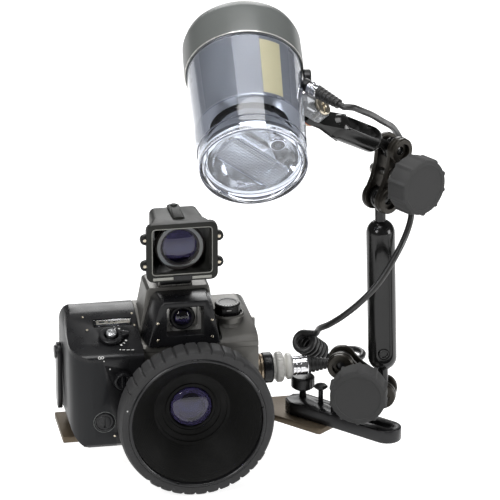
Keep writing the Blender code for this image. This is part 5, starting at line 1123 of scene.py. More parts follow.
    def _focus_and_cap(self) -> None:
        """The focus knob in its drop-shaped recess and the coin-slot battery cap."""
        place = looking_out(self.focus[0], self.grip_front, self.focus[1])
        knob = BENCH.turned([(0, -6.6), (3.8, -6.6), (3.8, -0.8), (8.0, -0.8), (8.0, 4.6), (7.2, 6.2),
            (5.4, 6.2), (4.8, 5.2), (0, 4.8)], 72, 0.3)
        BENCH.shaped(knob, BENCH.block((-1.5, -7.4, 4.2), (1.5, 7.6, 6.1), 0.4), "UNION")
        BENCH.knurled(knob, 18, (7.55, -0.35, 0.0), (8.6, 0.35, 4.9))
        BENCH.done(knob, "focus_dial", GLOSS_BLACK, "focus_knob", ("focus_knob",), place)
        BENCH.dot("focus_dot", looking_out(-70.6, -58.8, 82.0), 0.7, self.body)
        place = looking_out(self.cap[0], self.grip_front, self.cap[1])
        cap = BENCH.turned([(0, -4.2), (8.7, -4.2), (8.7, 0.2), (7.5, 0.6), (7.1, -0.3), (5.6, -0.35),
            (5.3, -0.1), (0, -0.1)], 72, 0.12)
        BENCH.shaped(cap, BENCH.block((-0.8, -5.3, -1.8), (0.8, 5.3, 2.0), 0))
        BENCH.done(cap, "coin_slot_cap", SATIN_BLACK, "battery_cap", ("battery_cap",), place)
        rim = BENCH.turned([(9.05, -0.2), (9.9, -0.2), (9.7, 0.28), (9.25, 0.28)], 72, 0.06)
        BENCH.done(rim, "cap_surround", CAP_GREY, self.body, (), place)
        BENCH.dressed("battery_cell", "cell", BRUSHED, self.body, 0.2)

    def _dial(self) -> None:
        """The aperture dial with a notched front, coin edge and painted scale."""
        place = moved(*self.dial)
        r = self.dial_radius
        dial = BENCH.turned([(0, -10.5), (r, -10.5), (r, -1.2), (r - 1.2, 0), (r - 3.4, 0),
            (r - 3.8, -0.35), (0, -0.35)], 96, 0.2)
        BENCH.shaped(dial, BENCH.block((-6.2, -20.0, -9.0), (6.2, 3.0 - r, -3.0), 0))
        for k in range(self.dial_teeth):
            angle = 360 * k / self.dial_teeth
            if abs((angle + 90) % 360 - 180) < self.dial_front_arc:
                continue
            turn = spun(angle)
            BENCH.shaped(dial, BENCH.block((r - 0.45, -0.4, -9.6), (r + 0.6, 0.4, -1.6), 0), place=turn)
        BENCH.done(dial, "aperture_knob", GLOSS_BLACK, "aperture_dial", ("aperture_dial",),
            place)
        for index in range(9):
            BENCH.mark(f"dial_mark_{index + 1}", "aperture_dial", place @ spun(200 + 17 * index),
                (8.1, -0.3, -0.02), (9.6 if index % 2 else 9.0, 0.3, 0.1))
        BENCH.mark("dial_index", "aperture_dial", place, (-2.0, -8.35, -5.4), (2.0, -8.15, -4.6))

    def _finder_block(self) -> None:
        """The black finder block, its four screws, the bright mask and the round lens."""
        BENCH.dressed("viewfinder_block", "finder_block", GLOSS_BLACK, self.body, 0.6, 3)
        for index, (x, z) in enumerate(((-27.9, 119.6), (-27.9, 103.8), (19.3, 120.0), (19.3, 104.2))):
            BENCH.screw(f"block_screw_{index + 1}", looking_out(x, -55.0, z), 1.2, self.body, turn=30 * index)
        base_y = -41.3
        x, z = self.window
        mask = BENCH.raised(rounded(-15.7, 15.7, -12.7, 12.7, (1.2,) * 4, 4), 0.0, 3.0, 0.4)
        trough = BENCH.lofted([
            [mm(a, b, 4.0) for a, b in rounded(-13.2, 13.2, -9.6, 11.4, (1.5,) * 4, 4)],
            [mm(a, b, 1.6) for a, b in rounded(-11.4, 11.4, -7.6, 9.6, (1.0,) * 4, 4)],
        ])
        BENCH.shaped(mask, trough)
        place = looking_out(x, base_y, z)
        BENCH.done(mask, "finder_mask", BRIGHT_SATIN, self.body, ("viewfinder_lens",), place)
        for index, (a, angle) in enumerate(((-9.4, 35), (9.2, -35))):
            rib = BENCH.block((-2.6, -0.35, 1.5), (2.6, 0.35, 2.6), 0.1)
            turn = place @ moved(a, -6.0, 0) @ spun(angle)
            BENCH.done(rib, f"mask_rib_{index + 1}", BRIGHT_SATIN, self.body, (), turn)
        lens_place = looking_out(x - 1.5, base_y, z + 1.2)
        cell = BENCH.turned([(0, 1.0), (11.2, 1.0), (11.2, 7.0), (10.2, 8.0), (9.2, 8.0), (8.9, 6.9),
            (8.1, 6.9), (7.8, 5.6), (6.9, 5.6), (6.6, 4.4), (0, 4.4)], 80, 0.12)
        BENCH.done(cell, "finder_cell", GLOSS_BLACK, self.body, ("viewfinder_lens",), lens_place)
        glass = BENCH.turned([(0, 4.5), (8.0, 4.5), (8.0, 6.4), (6.0, 8.1), (4.0, 9.1), (2.0, 9.7),
            (0, 9.9)], 72, 0)
        BENCH.done(glass, "finder_glass", VIOLET_GLASS, self.body, (), lens_place, 60)

    def _film_side(self) -> None:
        """The door, latch, hinge, inner works and shoe."""
        plain = (
            ("back_door", "rear_door", GUNMETAL, "back_door", "gunmetal", 0.6),
            ("pressure_plate", "film_plate", SATIN_BLACK, "back_door", "satin_black", 0.2),
            ("back_latch", "door_latch", SATIN_BLACK, "back_latch", "satin_black", 0.6),
            ("hinge_pin", "door_pin", BRUSHED, self.body, "steel", 0.2),
            ("takeup_spool", "film_spool", SATIN_BLACK, "takeup_spool", "satin_black", 0.3),
            ("shutter_blades", "blades", BRUSHED, self.body, "steel", 0.1),
            ("camera_lens", "prime_lens", DARK_OPTICAL, self.body, "optical_glass", 0.3),
            ("eyepiece", "rear_eyepiece", DARK_OPTICAL, self.body, "optical_glass", 0.2),
            ("accessory_shoe", "shoe_channel", BRUSHED, self.body, "steel", 0.25),
        )
        for node, name, finish, body, slot, edge in plain:
            BENCH.dressed(node, name, finish, body, edge)


@dataclass
class SyncConnector:
    """Socket rings, white double nut, chrome coupling and ribbed relief along the cord's exit."""

    body: str = "sync_nut"
    seat: float = 61.3
    socket_end: float = 79.0
    plug_end: float = 96.0
    coupling_end: float = 111.0

    def _at(self, x: float) -> Matrix:
        """A frame on the connector's axis, whose Z runs to the right."""
        return frame_at(mm(x, CONNECTOR_Y, CONNECTOR_Z), RIGHT, BACK)

    def build(self) -> None:
        """Models and dresses the connector."""
        long = self.socket_end - self.seat
        base = BENCH.turned([(0, 0), (13.0, 0), (13.0, 3.0), (11.3, 3.6), (11.3, 6.2), (12.8, 6.6),
            (12.8, 8.4), (12.1, 8.7), (12.1, 9.2), (0, 9.2)], 96, 0.2)
        BENCH.done(base, "socket_base", BRONZE, "camera", ("sync_socket",), self._at(self.seat))
        ring = BENCH.turned([(0, 9.3), (13.4, 9.3), (13.5, 9.8), (13.5, long - 1.2), (12.5, long),
            (0, long)], 96, 0.3)
        BENCH.done(ring, "socket_black_ring", GLOSS_BLACK, "camera", ("sync_socket",),
            self._at(self.seat))
        start = self.socket_end + GAP
        long = self.plug_end - start
        nut = BENCH.turned([(0, 0), (10.5, 0), (10.5, 2.0), (12.5, 2.8), (13.5, 4.0), (13.5, 7.8),
            (12.3, 9.0), (8.8, 10.0), (8.8, 11.2), (10.6, 12.0), (11.7, 13.0), (11.7, long - 1.2),
            (10.5, long), (0, long)], 96, 0.35)
        BENCH.knurled(nut, 24, (13.1, -0.5, 3.4), (14.4, 0.5, 8.3))
        BENCH.done(nut, "white_nut", NYLON, "sync_nut", ("sync_plug",), self._at(start))
        start = self.plug_end + GAP
        long = self.coupling_end - start
        sleeve = BENCH.turned([(0, 0), (7.5, 0), (8.5, 1.0), (8.5, 3.2), (8.0, 3.4), (8.0, 3.9), (8.5, 4.1),
            (8.5, 6.9), (8.0, 7.1), (8.0, 7.6), (8.5, 7.8), (8.5, long - 1.0), (7.5, long), (0, long)], 72,
            0.15)
        BENCH.knurled(sleeve, 8, (8.1, -0.35, 0.6), (9.0, 0.35, long - 0.8))
        BENCH.done(sleeve, "chrome_coupling", CHROME, "sync_nut", ("sync_coupling",),
            self._at(start))
        start = self.coupling_end + GAP
        boot = BENCH.turned(ribbed_relief(7.5, 4.6, RELIEF_END - start, 5), 64, 0.25)
        BENCH.done(boot, "ribbed_boot", CORD_BLACK, "camera", ("sync_relief",), self._at(start))


@dataclass
class OpticalFinder:
    """The boxy finder on the shoe: moulded housing, lugged frame, coated lens and foot."""

    body: str = "optical_finder"
    x: float = -5.5
    z: float = 182.5
    wide: float = 62.0
    high: float = 53.0
    front: float = -50.0
    lens_radius: float = 21.4

    def build(self) -> None:
        """Models and dresses the finder."""
        self._shell()
        self._frame()
        self._lip()
        self._lens()

    def _ring(self, y: float, half_wide: float, half_high: float) -> list[Vector]:
        """A rounded rectangle round the finder's axis at one depth."""
        outline = rounded(-half_wide, half_wide, -half_high, half_high, (5.0,) * 4, 6)
        return [mm(self.x + x, y, self.z + z) for x, z in outline]

    def _shell(self) -> None:
        """The tapered housing with its rib, the boss at the rib's end, and the foot."""
        shell = BENCH.lofted([self._ring(*size) for size in ((-43.7, 28.0, 24.5), (-33.7, 26.0, 24.0),
            (-25.7, 23.0, 23.5), (0.0, 21.0, 22.5), (2.0, 19.0, 20.5))])
        rib = [(-6.4, 4.0), (-5.2, -1.0), (-3.0, -1.9), (3.0, -1.9), (5.2, -1.0), (6.4, 4.0)]
        rib_place = frame_at(mm(self.x, -31.7, self.z + 23.5), BACK)
        BENCH.shaped(shell, BENCH.raised(rib, 0, 32.2, 0.4, 2), "UNION", rib_place)
        BENCH.shaped(shell, BENCH.lofted([self._ring(*size) for size in (
            (-53.7, 25.8, 22.3), (-38.0, 24.0, 22.2), (-31.5, 22.2, 21.8), (-25.7, 20.4, 21.0),
            (-8.0, 18.0, 18.5))]))
        eye_place = frame_at(mm(self.x, 2.0, self.z), BACK)
        BENCH.shaped(shell, BENCH.rod(11.0, -20, 10, 64), place=eye_place)
        boss = BENCH.turned([(0, -2.0), (3.1, -2.0), (3.1, 0.8), (2.5, 1.8), (0, 2.2)], 48, 0.4)
        BENCH.shaped(shell, boss, "UNION", moved(self.x, -3.6, 207.3))
        BENCH.done(shell, "finder_shell", FINDER_SHELL, self.body, ("finder_housing",))
        BENCH.dressed("finder_foot", "finder_foot_block", SATIN_BLACK, self.body, 0.3)

    def _frame(self) -> None:
        """The front frame, its four screws and a pale ring of painted highlight round its opening."""
        BENCH.dressed("finder_frame", "finder_front_frame", FINDER_SHELL, self.body, 0.7, 3,
            25)
        for index, (side, z) in enumerate(((-1, -11.5), (-1, 12.5), (1, -11.5), (1, 12.5))):
            place = looking_out(self.x + side * (self.wide / 2 + 1.1), self.front + 1.5, self.z + z)
            cup = BENCH.turned([(0, 0.0), (3.0, 0.0), (3.0, 0.35), (2.5, 0.6), (2.0, 0.3), (0, 0.3)], 40,
                0.08)
            BENCH.done(cup, f"lug_cup_{index + 1}", GLOSS_BLACK, self.body, (), place)
            BENCH.screw(f"lug_screw_{index + 1}", place @ moved(0, 0, 0.3), 1.7, self.body,
                        turn=20 + 35 * index)
        w, h = self.wide / 2, self.high / 2
        outer = rounded(-w + 4.5, w - 4.5, -h + 6.0, h - 4.0, (3.4,) * 4, 8)
        inner = rounded(-w + 5.2, w - 5.2, -h + 6.7, h - 4.7, (2.8,) * 4, 8)
        # A pale ring round the opening: a painted highlight along the mouth's edge, not a part
        thin_ring = BENCH.raised(outer, -0.9, 0.22, 0.1, 2)
        BENCH.shaped(thin_ring, BENCH.raised(inner, -3.0, 3.0, 0))
        BENCH.done(thin_ring, "mouth_edge_highlight", PAINTED_EDGE_HIGHLIGHT, self.body, (),
                   looking_out(self.x, self.front, self.z))

    def _lip(self) -> None:
        """Two pale strips on the lower lip with a ribbed black block between them."""
        place = looking_out(self.x, self.front, self.z - self.high / 2)
        for index, (x0, x1) in enumerate(((-25.5, -7.8), (8.6, 25.5))):
            strip = BENCH.block((x0, 1.5, -0.2), (x1, 4.0, 0.25), 0.12)
            BENCH.done(strip, f"lip_strip_{index + 1}", PALE_STRIP, self.body, (), place)
        block = BENCH.block((-7.4, 0.9, -0.4), (8.2, 5.6, 0.9), 0.3)
        for k in range(9):
            x = -6.6 + 1.75 * k
            BENCH.shaped(block, BENCH.block((x, 1.6, 0.6), (x + 0.8, 4.9, 1.5), 0))
        BENCH.done(block, "lip_block", SATIN_BLACK, self.body, (), place)

    def _lens(self) -> None:
        """Coated outer ring, cell rings, the domed front glass and the glass behind it."""
        r = self.lens_radius
        place = looking_out(self.x, self.front + 12.0, self.z)
        ring = BENCH.turned([(0.76 * r, -6.0), (r, -6.0), (r, -1.0), (0.935 * r, 0), (0.80 * r, -0.2),
            (0.76 * r, -1.4)], 112, 0.15)
        BENCH.done(ring, "coated_ring", COATED_RING, self.body, ("finder_lens",), place)
        cell = BENCH.turned([(0, -12.0), (0.7 * r, -12.0), (0.7 * r, -6.2), (0.755 * r, -6.2),
            (0.755 * r, -2.2), (0.70 * r, -2.5), (0.70 * r, -4.2), (0.62 * r, -4.4), (0.62 * r, -6.6),
            (0, -6.6)], 96, 0.1)
        BENCH.done(cell, "finder_cell_rings", GLOSS_BLACK, self.body, ("finder_lens",),
            place)
        rear = BENCH.turned([(0, -4.6), (4.0, -4.9), (8.0, -5.6), (12.9, -6.5), (0, -6.5)], 72, 0)
        BENCH.done(rear, "finder_rear_glass", DARK_OPTICAL, self.body, (), place, 60)
        dome = [(0, -0.3), (4.0, -0.5), (8.0, -1.0), (11.0, -1.7), (14.5, -2.7), (15.9, -3.2)]
        glass = BENCH.turned(dome + [(15.9, -3.9), (14.0, -3.6), (8.0, -2.4), (0, -1.9)], 96, 0)
        BENCH.done(glass, "finder_front_glass", VIOLET_GLASS, self.body, ("finder_lens",),
            place, 60)


@dataclass
class TrayAndBar:
    """The tray, the arm's bar, their screws and the ball post."""

    body: str = "camera"
    bar_start: Triple = (100.8, -0.4, 0.0)
    bar_end: Triple = (178.0, -87.2, 0.0)
    low: float = 6.3
    bar_thick: float = 12.0

    def build(self) -> None:
        """Models and dresses what carries the camera and the arm."""
        BENCH.dressed("base_tray", "tray_plate", TRAY_ALLOY, self.body, 0.5, 2, 25)
        BENCH.dressed("base_bar", "arm_bar", SATIN_BLACK, self.body, 0.4, 2, 25)
        BENCH.dressed("camera_screw", "tripod_screw", BRUSHED, self.body, 0.2)
        self._thumb_screw("bar_thumb_screw", "tray_thumb_screw", distance=7.0, aside=5.0, radius=10.4,
            foot=20.0, top=38.5, drill=3.0)
        self._thumb_screw("bar_lock_screw", "tray_lock_screw", distance=28.5, aside=3.0, radius=6.2,
            foot=25.5, top=36.0, drill=2.2)
        high = self.low + self.bar_thick
        r, z = BALL_RADIUS, POST_BALL[2]
        profile = [(0, high + 0.3), (9.5, high + 0.3), (9.5, high + 5.5), (7.5, high + 8.5),
                   (NECK_RADIUS, high + 11.0)]
        profile += arc(0, z, r, -60, 84, 24) + [(0, z + r)]
        post = BENCH.turned(profile, 64, 0.4)
        BENCH.done(post, "post_with_ball", SATIN_BLACK, self.body, ("ball_post",),
                   moved(POST_BALL[0], POST_BALL[1], 0))

    def _thumb_screw(self, node: str, name: str, distance: float, aside: float, radius: float,
                     foot: float, top: float, drill: float) -> None:
        """A knurled screw standing in the bar."""
        along = (mm(*self.bar_end) - mm(*self.bar_start)).normalized()
        at = mm(*self.bar_start) + along * distance * MM + UP.cross(along) * aside * MM
        screw = BENCH.turned([(0, self.low + 2.3), (drill, self.low + 2.3), (drill, foot + 5.5),
            (radius - 2.5, foot + 6.5), (radius, foot + 8.5), (radius, top - 1.5), (radius - 1.5, top),
            (0, top)], 72, 0.3)
        BENCH.knurled(screw, 20, (radius - 0.5, -0.45, foot + 7.0), (radius + 1, 0.45, top + 1))
        BENCH.done(screw, name, SATIN_BLACK, node, (node,), Matrix.Translation(at))


@dataclass
class BallArm:
    """The two ball clamps with their knobs, and the long and short arms."""

    clamp_radius: float = 12.0
    split: float = 5.5
    web: float = 10.0
    waist: float = 8.5
    knob_radius: float = 24.5
    knob_bump: float = 1.6
    bumps: int = 10
    knob_front: float = 49.0
    knob_long: float = 21.5
    arm_radius: float = 12.5
    short_radius: float = 11.2
    shoulder: float = 20.5
    bolt_hole: float = 3.3
    waist_half: float = 6.0
    cup_front: float = 14.0
    cup_back: float = 11.5
    ball_clearance: float = 0.6
    bump_half_arc: float = 4.6
    knob_steps: int = 180
    low_ball: Triple = (171.6, -49.2, 39.4)
    high_ball: Triple = (167.1, -49.2, 221.4)

    def build(self) -> None:
        """Models and dresses the arm from the bar to the strobe."""
        self._clamp("lower", mm(*POST_BALL), mm(*self.low_ball), Vector((-0.274, -0.962, 0)))
        self._clamp("upper", mm(*self.high_ball), mm(*SHORT_BALL), Vector((0.508, -0.861, 0)))
        self._long_arm()
        self._short_arm()

    def _clamp(self, prefix: str, first: Vector, second: Vector, way: Vector) -> None:
        """Two cupped plates round two balls, and the knob that draws them together."""
        place = frame_at(first, way, second - first)
        span = (second - first).length / MM
        half = span / 2
        r = self.clamp_radius
        top = arc(0, 0, r, 60, 300, 40)
        low = [(half - self.waist_half, -self.waist), (half + self.waist_half, -self.waist)]
        outline = top + low + arc(span, 0, r, -120, 120, 40) + [(x, -y) for x, y in reversed(low)]
        outline = eased(outline, 5.0, looped=True, steps=6)
        for side, end in ((-1, "back"), (1, "front")):
            spans = (self.split, self.web) if side > 0 else (-self.web, -self.split)
            plate = BENCH.raised(outline, *spans, edge=0.7, segments=3)
            deep = self.cup_front if side > 0 else self.cup_back
            for at in (0, span):
                cup = BENCH.turned([(0, self.split + 1), (r - 0.4, self.split + 1), (r - 0.4, deep - 1),
                    (r - 1.4, deep), (0, deep)], 72, 0.3)
                turn = moved(at, 0, 0)
                if side < 0:
                    turn = turn @ Matrix.Rotation(math.pi, 4, "X")
                BENCH.shaped(plate, cup, "UNION", turn)
            for at in (0, span):
                seat = moved(at, 0, 0)
                inside = BALL_RADIUS + self.ball_clearance
                ball = BENCH.turned([(0, -inside), *arc(0, 0, inside, -80, 80, 20), (0, inside)], 64, 0)
                BENCH.shaped(plate, ball, place=seat)
                if side > 0:
                    hole = BENCH.turned([(0, 4.0), (4.0, 4.0), (4.0, deep - 3.5), (7.2, deep - 3.5),
                        (7.2, deep + 10), (0, deep + 10)], 56, 0)
                    BENCH.shaped(plate, hole, place=seat)
            BENCH.shaped(plate, BENCH.rod(self.bolt_hole, -30, 30), place=moved(half, 0, 0))
            node = f"{prefix}_clamp_{end}"
            BENCH.done(plate, f"{prefix}_plate_{end}", CLAMP_BLACK, f"{prefix}_clamp",
                (node,), place)
        self._knob(prefix, place @ moved(half, 0, 0))

    def _knob(self, prefix: str, middle: Matrix) -> None:
        """A rubber knob with ten bumps and a shallow face, on its bolt."""
        grip: Points = []
        for i in range(self.knob_steps):
            a = math.tau * i / self.knob_steps
            phase = (math.degrees(a) * self.bumps / 360 + 0.5) % 1.0
            off = min(phase, 1.0 - phase) * 360 / self.bumps
            rise = self.knob_bump * max(0.0, 1 - (off / self.bump_half_arc) ** 2)
            grip.append(((self.knob_radius + rise) * math.cos(a), (self.knob_radius + rise) * math.sin(a)))
        back, front = self.knob_front - self.knob_long, self.knob_front
        rings = []
        for scale, z in ((0.90, back), (0.93, back + 0.3), (0.985, back + 1.6), (1.0, back + 3.0),
                         (1.0, front - 3.2), (0.992, front - 1.4), (0.968, front - 0.4), (0.94, front)):
            rings.append([mm(x * scale, y * scale, z) for x, y in grip])
        knob = BENCH.lofted(rings)
        face = BENCH.turned([(0, front - 0.7), (19.6, front - 0.5), (20.4, front + 0.3), (20.4, front + 4),
            (0, front + 4)], 96, 0.2)
        BENCH.shaped(knob, face)
        name = f"{prefix}_clamp_knob"
        BENCH.done(knob, f"{prefix}_rubber_knob", KNOB_RUBBER, name, (name,), middle, 32)
        rear, near = -self.web - GAP, self.web + GAP
        bolt = BENCH.turned([(0, rear - 6.5), (4.2, rear - 6.5), (5.2, rear - 5.5), (5.2, rear),
            (3.0, rear), (3.0, near), (7.0, near), (8.8, 17.0), (8.8, back + 0.6), (0, back + 0.6)], 64,
            0.3)
        BENCH.done(bolt, f"{prefix}_knob_bolt", BRUSHED, name, (name,), middle)

    @staticmethod
    def _ball_part(height: float, start: int, end: int) -> Points:
        """Profile points on a ball of the arm, six degrees apart."""
        line = arc(0, height, BALL_RADIUS, start, end, (end - start) // 6)
        return [(x if x > 0.01 else 0.0, z) for x, z in line]

    def _slot(self, arm: Piece, low: float, high: float, radius: float, floor: float,
              turn: float) -> None:
        """A long pocket with round ends, cut into one side of an arm."""
        outline = arc(0, low, radius, 180, 360, 24) + arc(0, high, radius, 0, 180, 24)
        BENCH.shaped(arm, BENCH.raised(outline, floor, 20.0, 0), place=spun(turn) @ UPRIGHT)

    def _long_arm(self) -> None:
        """The long arm: two balls, domed shoulders and a stepped slot on both faces."""
        low, high = mm(*self.low_ball), mm(*self.high_ball)
        long = (high - low).length / MM
        start, end = self.shoulder + self.arm_radius, long - self.shoulder - self.arm_radius
        r = self.arm_radius
        profile = self._ball_part(0, -90, 60) + [(NECK_RADIUS, self.shoulder + 0.8)]
        profile += arc(0, start, r, -66, 0, 12) + arc(0, end, r, 0, 66, 12)
        profile += [(NECK_RADIUS, long - self.shoulder - 0.8)] + self._ball_part(long, -60, 90)
        arm = BENCH.turned(profile, 80, 0.35)
        for turn in (0, 180):
            self._slot(arm, start + 5, end - 5, radius=7.2, floor=7.5, turn=turn)
            self._slot(arm, start + 5, end - 5, radius=5.4, floor=6.4, turn=turn)
        BENCH.edged(arm, 0.35, 2, 40)
        place = frame_at(low, high - low)
        BENCH.done(arm, "long_arm_rod", GLOSS_SATIN, "long_arm", ("long_arm",), place, 40)
        for index, turn in enumerate((0, 180)):
            boss = BENCH.turned([(3.0, 6.3), (4.6, 6.3), (4.6, 7.6), (4.2, 8.0), (3.4, 8.0), (3.0, 7.6)],
                48, 0.15)
            facing = spun(turn) @ Matrix.Translation(
                mm(0, 0, start + 4.6)) @ Matrix.Rotation(math.radians(90), 4, "X")
            BENCH.done(boss, f"slot_boss_{index + 1}", GLOSS_SATIN, "long_arm", (),
                place @ facing)

    def _flat_tongue(self, end: float, long: float) -> Piece:
        """The flat end of the short arm: its side outline and its face outline, crossed."""
        side = [(-8.8, end - 4), (8.8, end - 4), (3.0, long - 10.5), (3.0, long + 6.2), (-3.0, long + 6.2),
                (-3.0, long - 10.5)]
        face = [(-8.5, end - 4.5), (8.5, end - 4.5), (8.0, long - 10.5), (8.0, long + 2), (6.2, long + 6.7),
                (-6.2, long + 6.7), (-8.0, long + 2), (-8.0, long - 10.5)]
        tongue = BENCH.put(BENCH.raised(side, -9.5, 9.5, 0), UPRIGHT)
        across = spun(90) @ UPRIGHT
        return BENCH.shaped(tongue, BENCH.raised(face, -12, 12, 0), "INTERSECT", across)

    def _short_arm(self) -> None:
        """The short arm: ball, shoulder, four pockets and the flat tongue that takes the bolt."""
        ball, tongue = mm(*SHORT_BALL), mm(*ARM_TONGUE)
        axis = STROBE_WAY.cross(tongue - ball).normalized()
        place = frame_at(ball, tongue - ball, -axis)
        long = (tongue - ball).length / MM
        r = self.short_radius
        start, end = self.shoulder - 3 + r, long - 34
        profile = self._ball_part(0, -90, 60) + [(NECK_RADIUS, self.shoulder - 2.5)]
        profile += arc(0, start, r, -62, 0, 12) + arc(0, end, r, 0, 78, 12) + [(0, end + r)]
        arm = BENCH.turned(profile, 80, 0.35)
        BENCH.shaped(arm, self._flat_tongue(end, long), "UNION")
        for turn in (90, 270):
            self._slot(arm, start + 5.2, start + 6.8, radius=6.2, floor=7.2, turn=turn)
            self._slot(arm, start + 26.2, end - 8.2, radius=6.2, floor=7.2, turn=turn)
        local = place.inverted() @ frame_at(tongue, axis, STROBE_WAY)
        BENCH.shaped(arm, BENCH.rod(self.bolt_hole, -20, 20), place=local)
        BENCH.edged(arm, 0.35, 2, 40)
        BENCH.done(arm, "short_arm_rod", GLOSS_SATIN, "short_arm", ("short_arm",), place, 40)
        pivot = tongue + axis * (LUG_HALF + GAP + TONGUE_THICK / 2) * MM
        low = -LUG_HALF - GAP - TONGUE_THICK - GAP
        bolt = BENCH.turned([(0, low - 5), (5.0, low - 5), (5.8, low - 4), (5.8, low), (3.0, low),
            (3.0, 5.3), (8.2, 5.3), (8.2, 7.2), (7.4, 8.2), (2.9, 8.2), (2.4, 7.7), (2.4, 6.2), (0, 6.2)],
            72, 0.2)
        BENCH.shaped(bolt, BENCH.block((-8.6, -0.7, 7.2), (8.6, 0.7, 9.0), 0))
        BENCH.done(bolt, "pivot_bolt", NICKEL, "short_arm", ("strobe_pivot_bolt",),
                   frame_at(pivot, axis, STROBE_WAY))
        thin_ring = BENCH.turned([(6.0, low + 0.1), (7.3, low + 0.1), (7.3, low + 1.3), (6.0, low + 1.3)], 56, 0.4)
        BENCH.done(thin_ring, "orange_seal_ring", ORANGE_RING, "short_arm", (),
                   frame_at(pivot, axis, STROBE_WAY) @ moved(0, 0, -1.6))


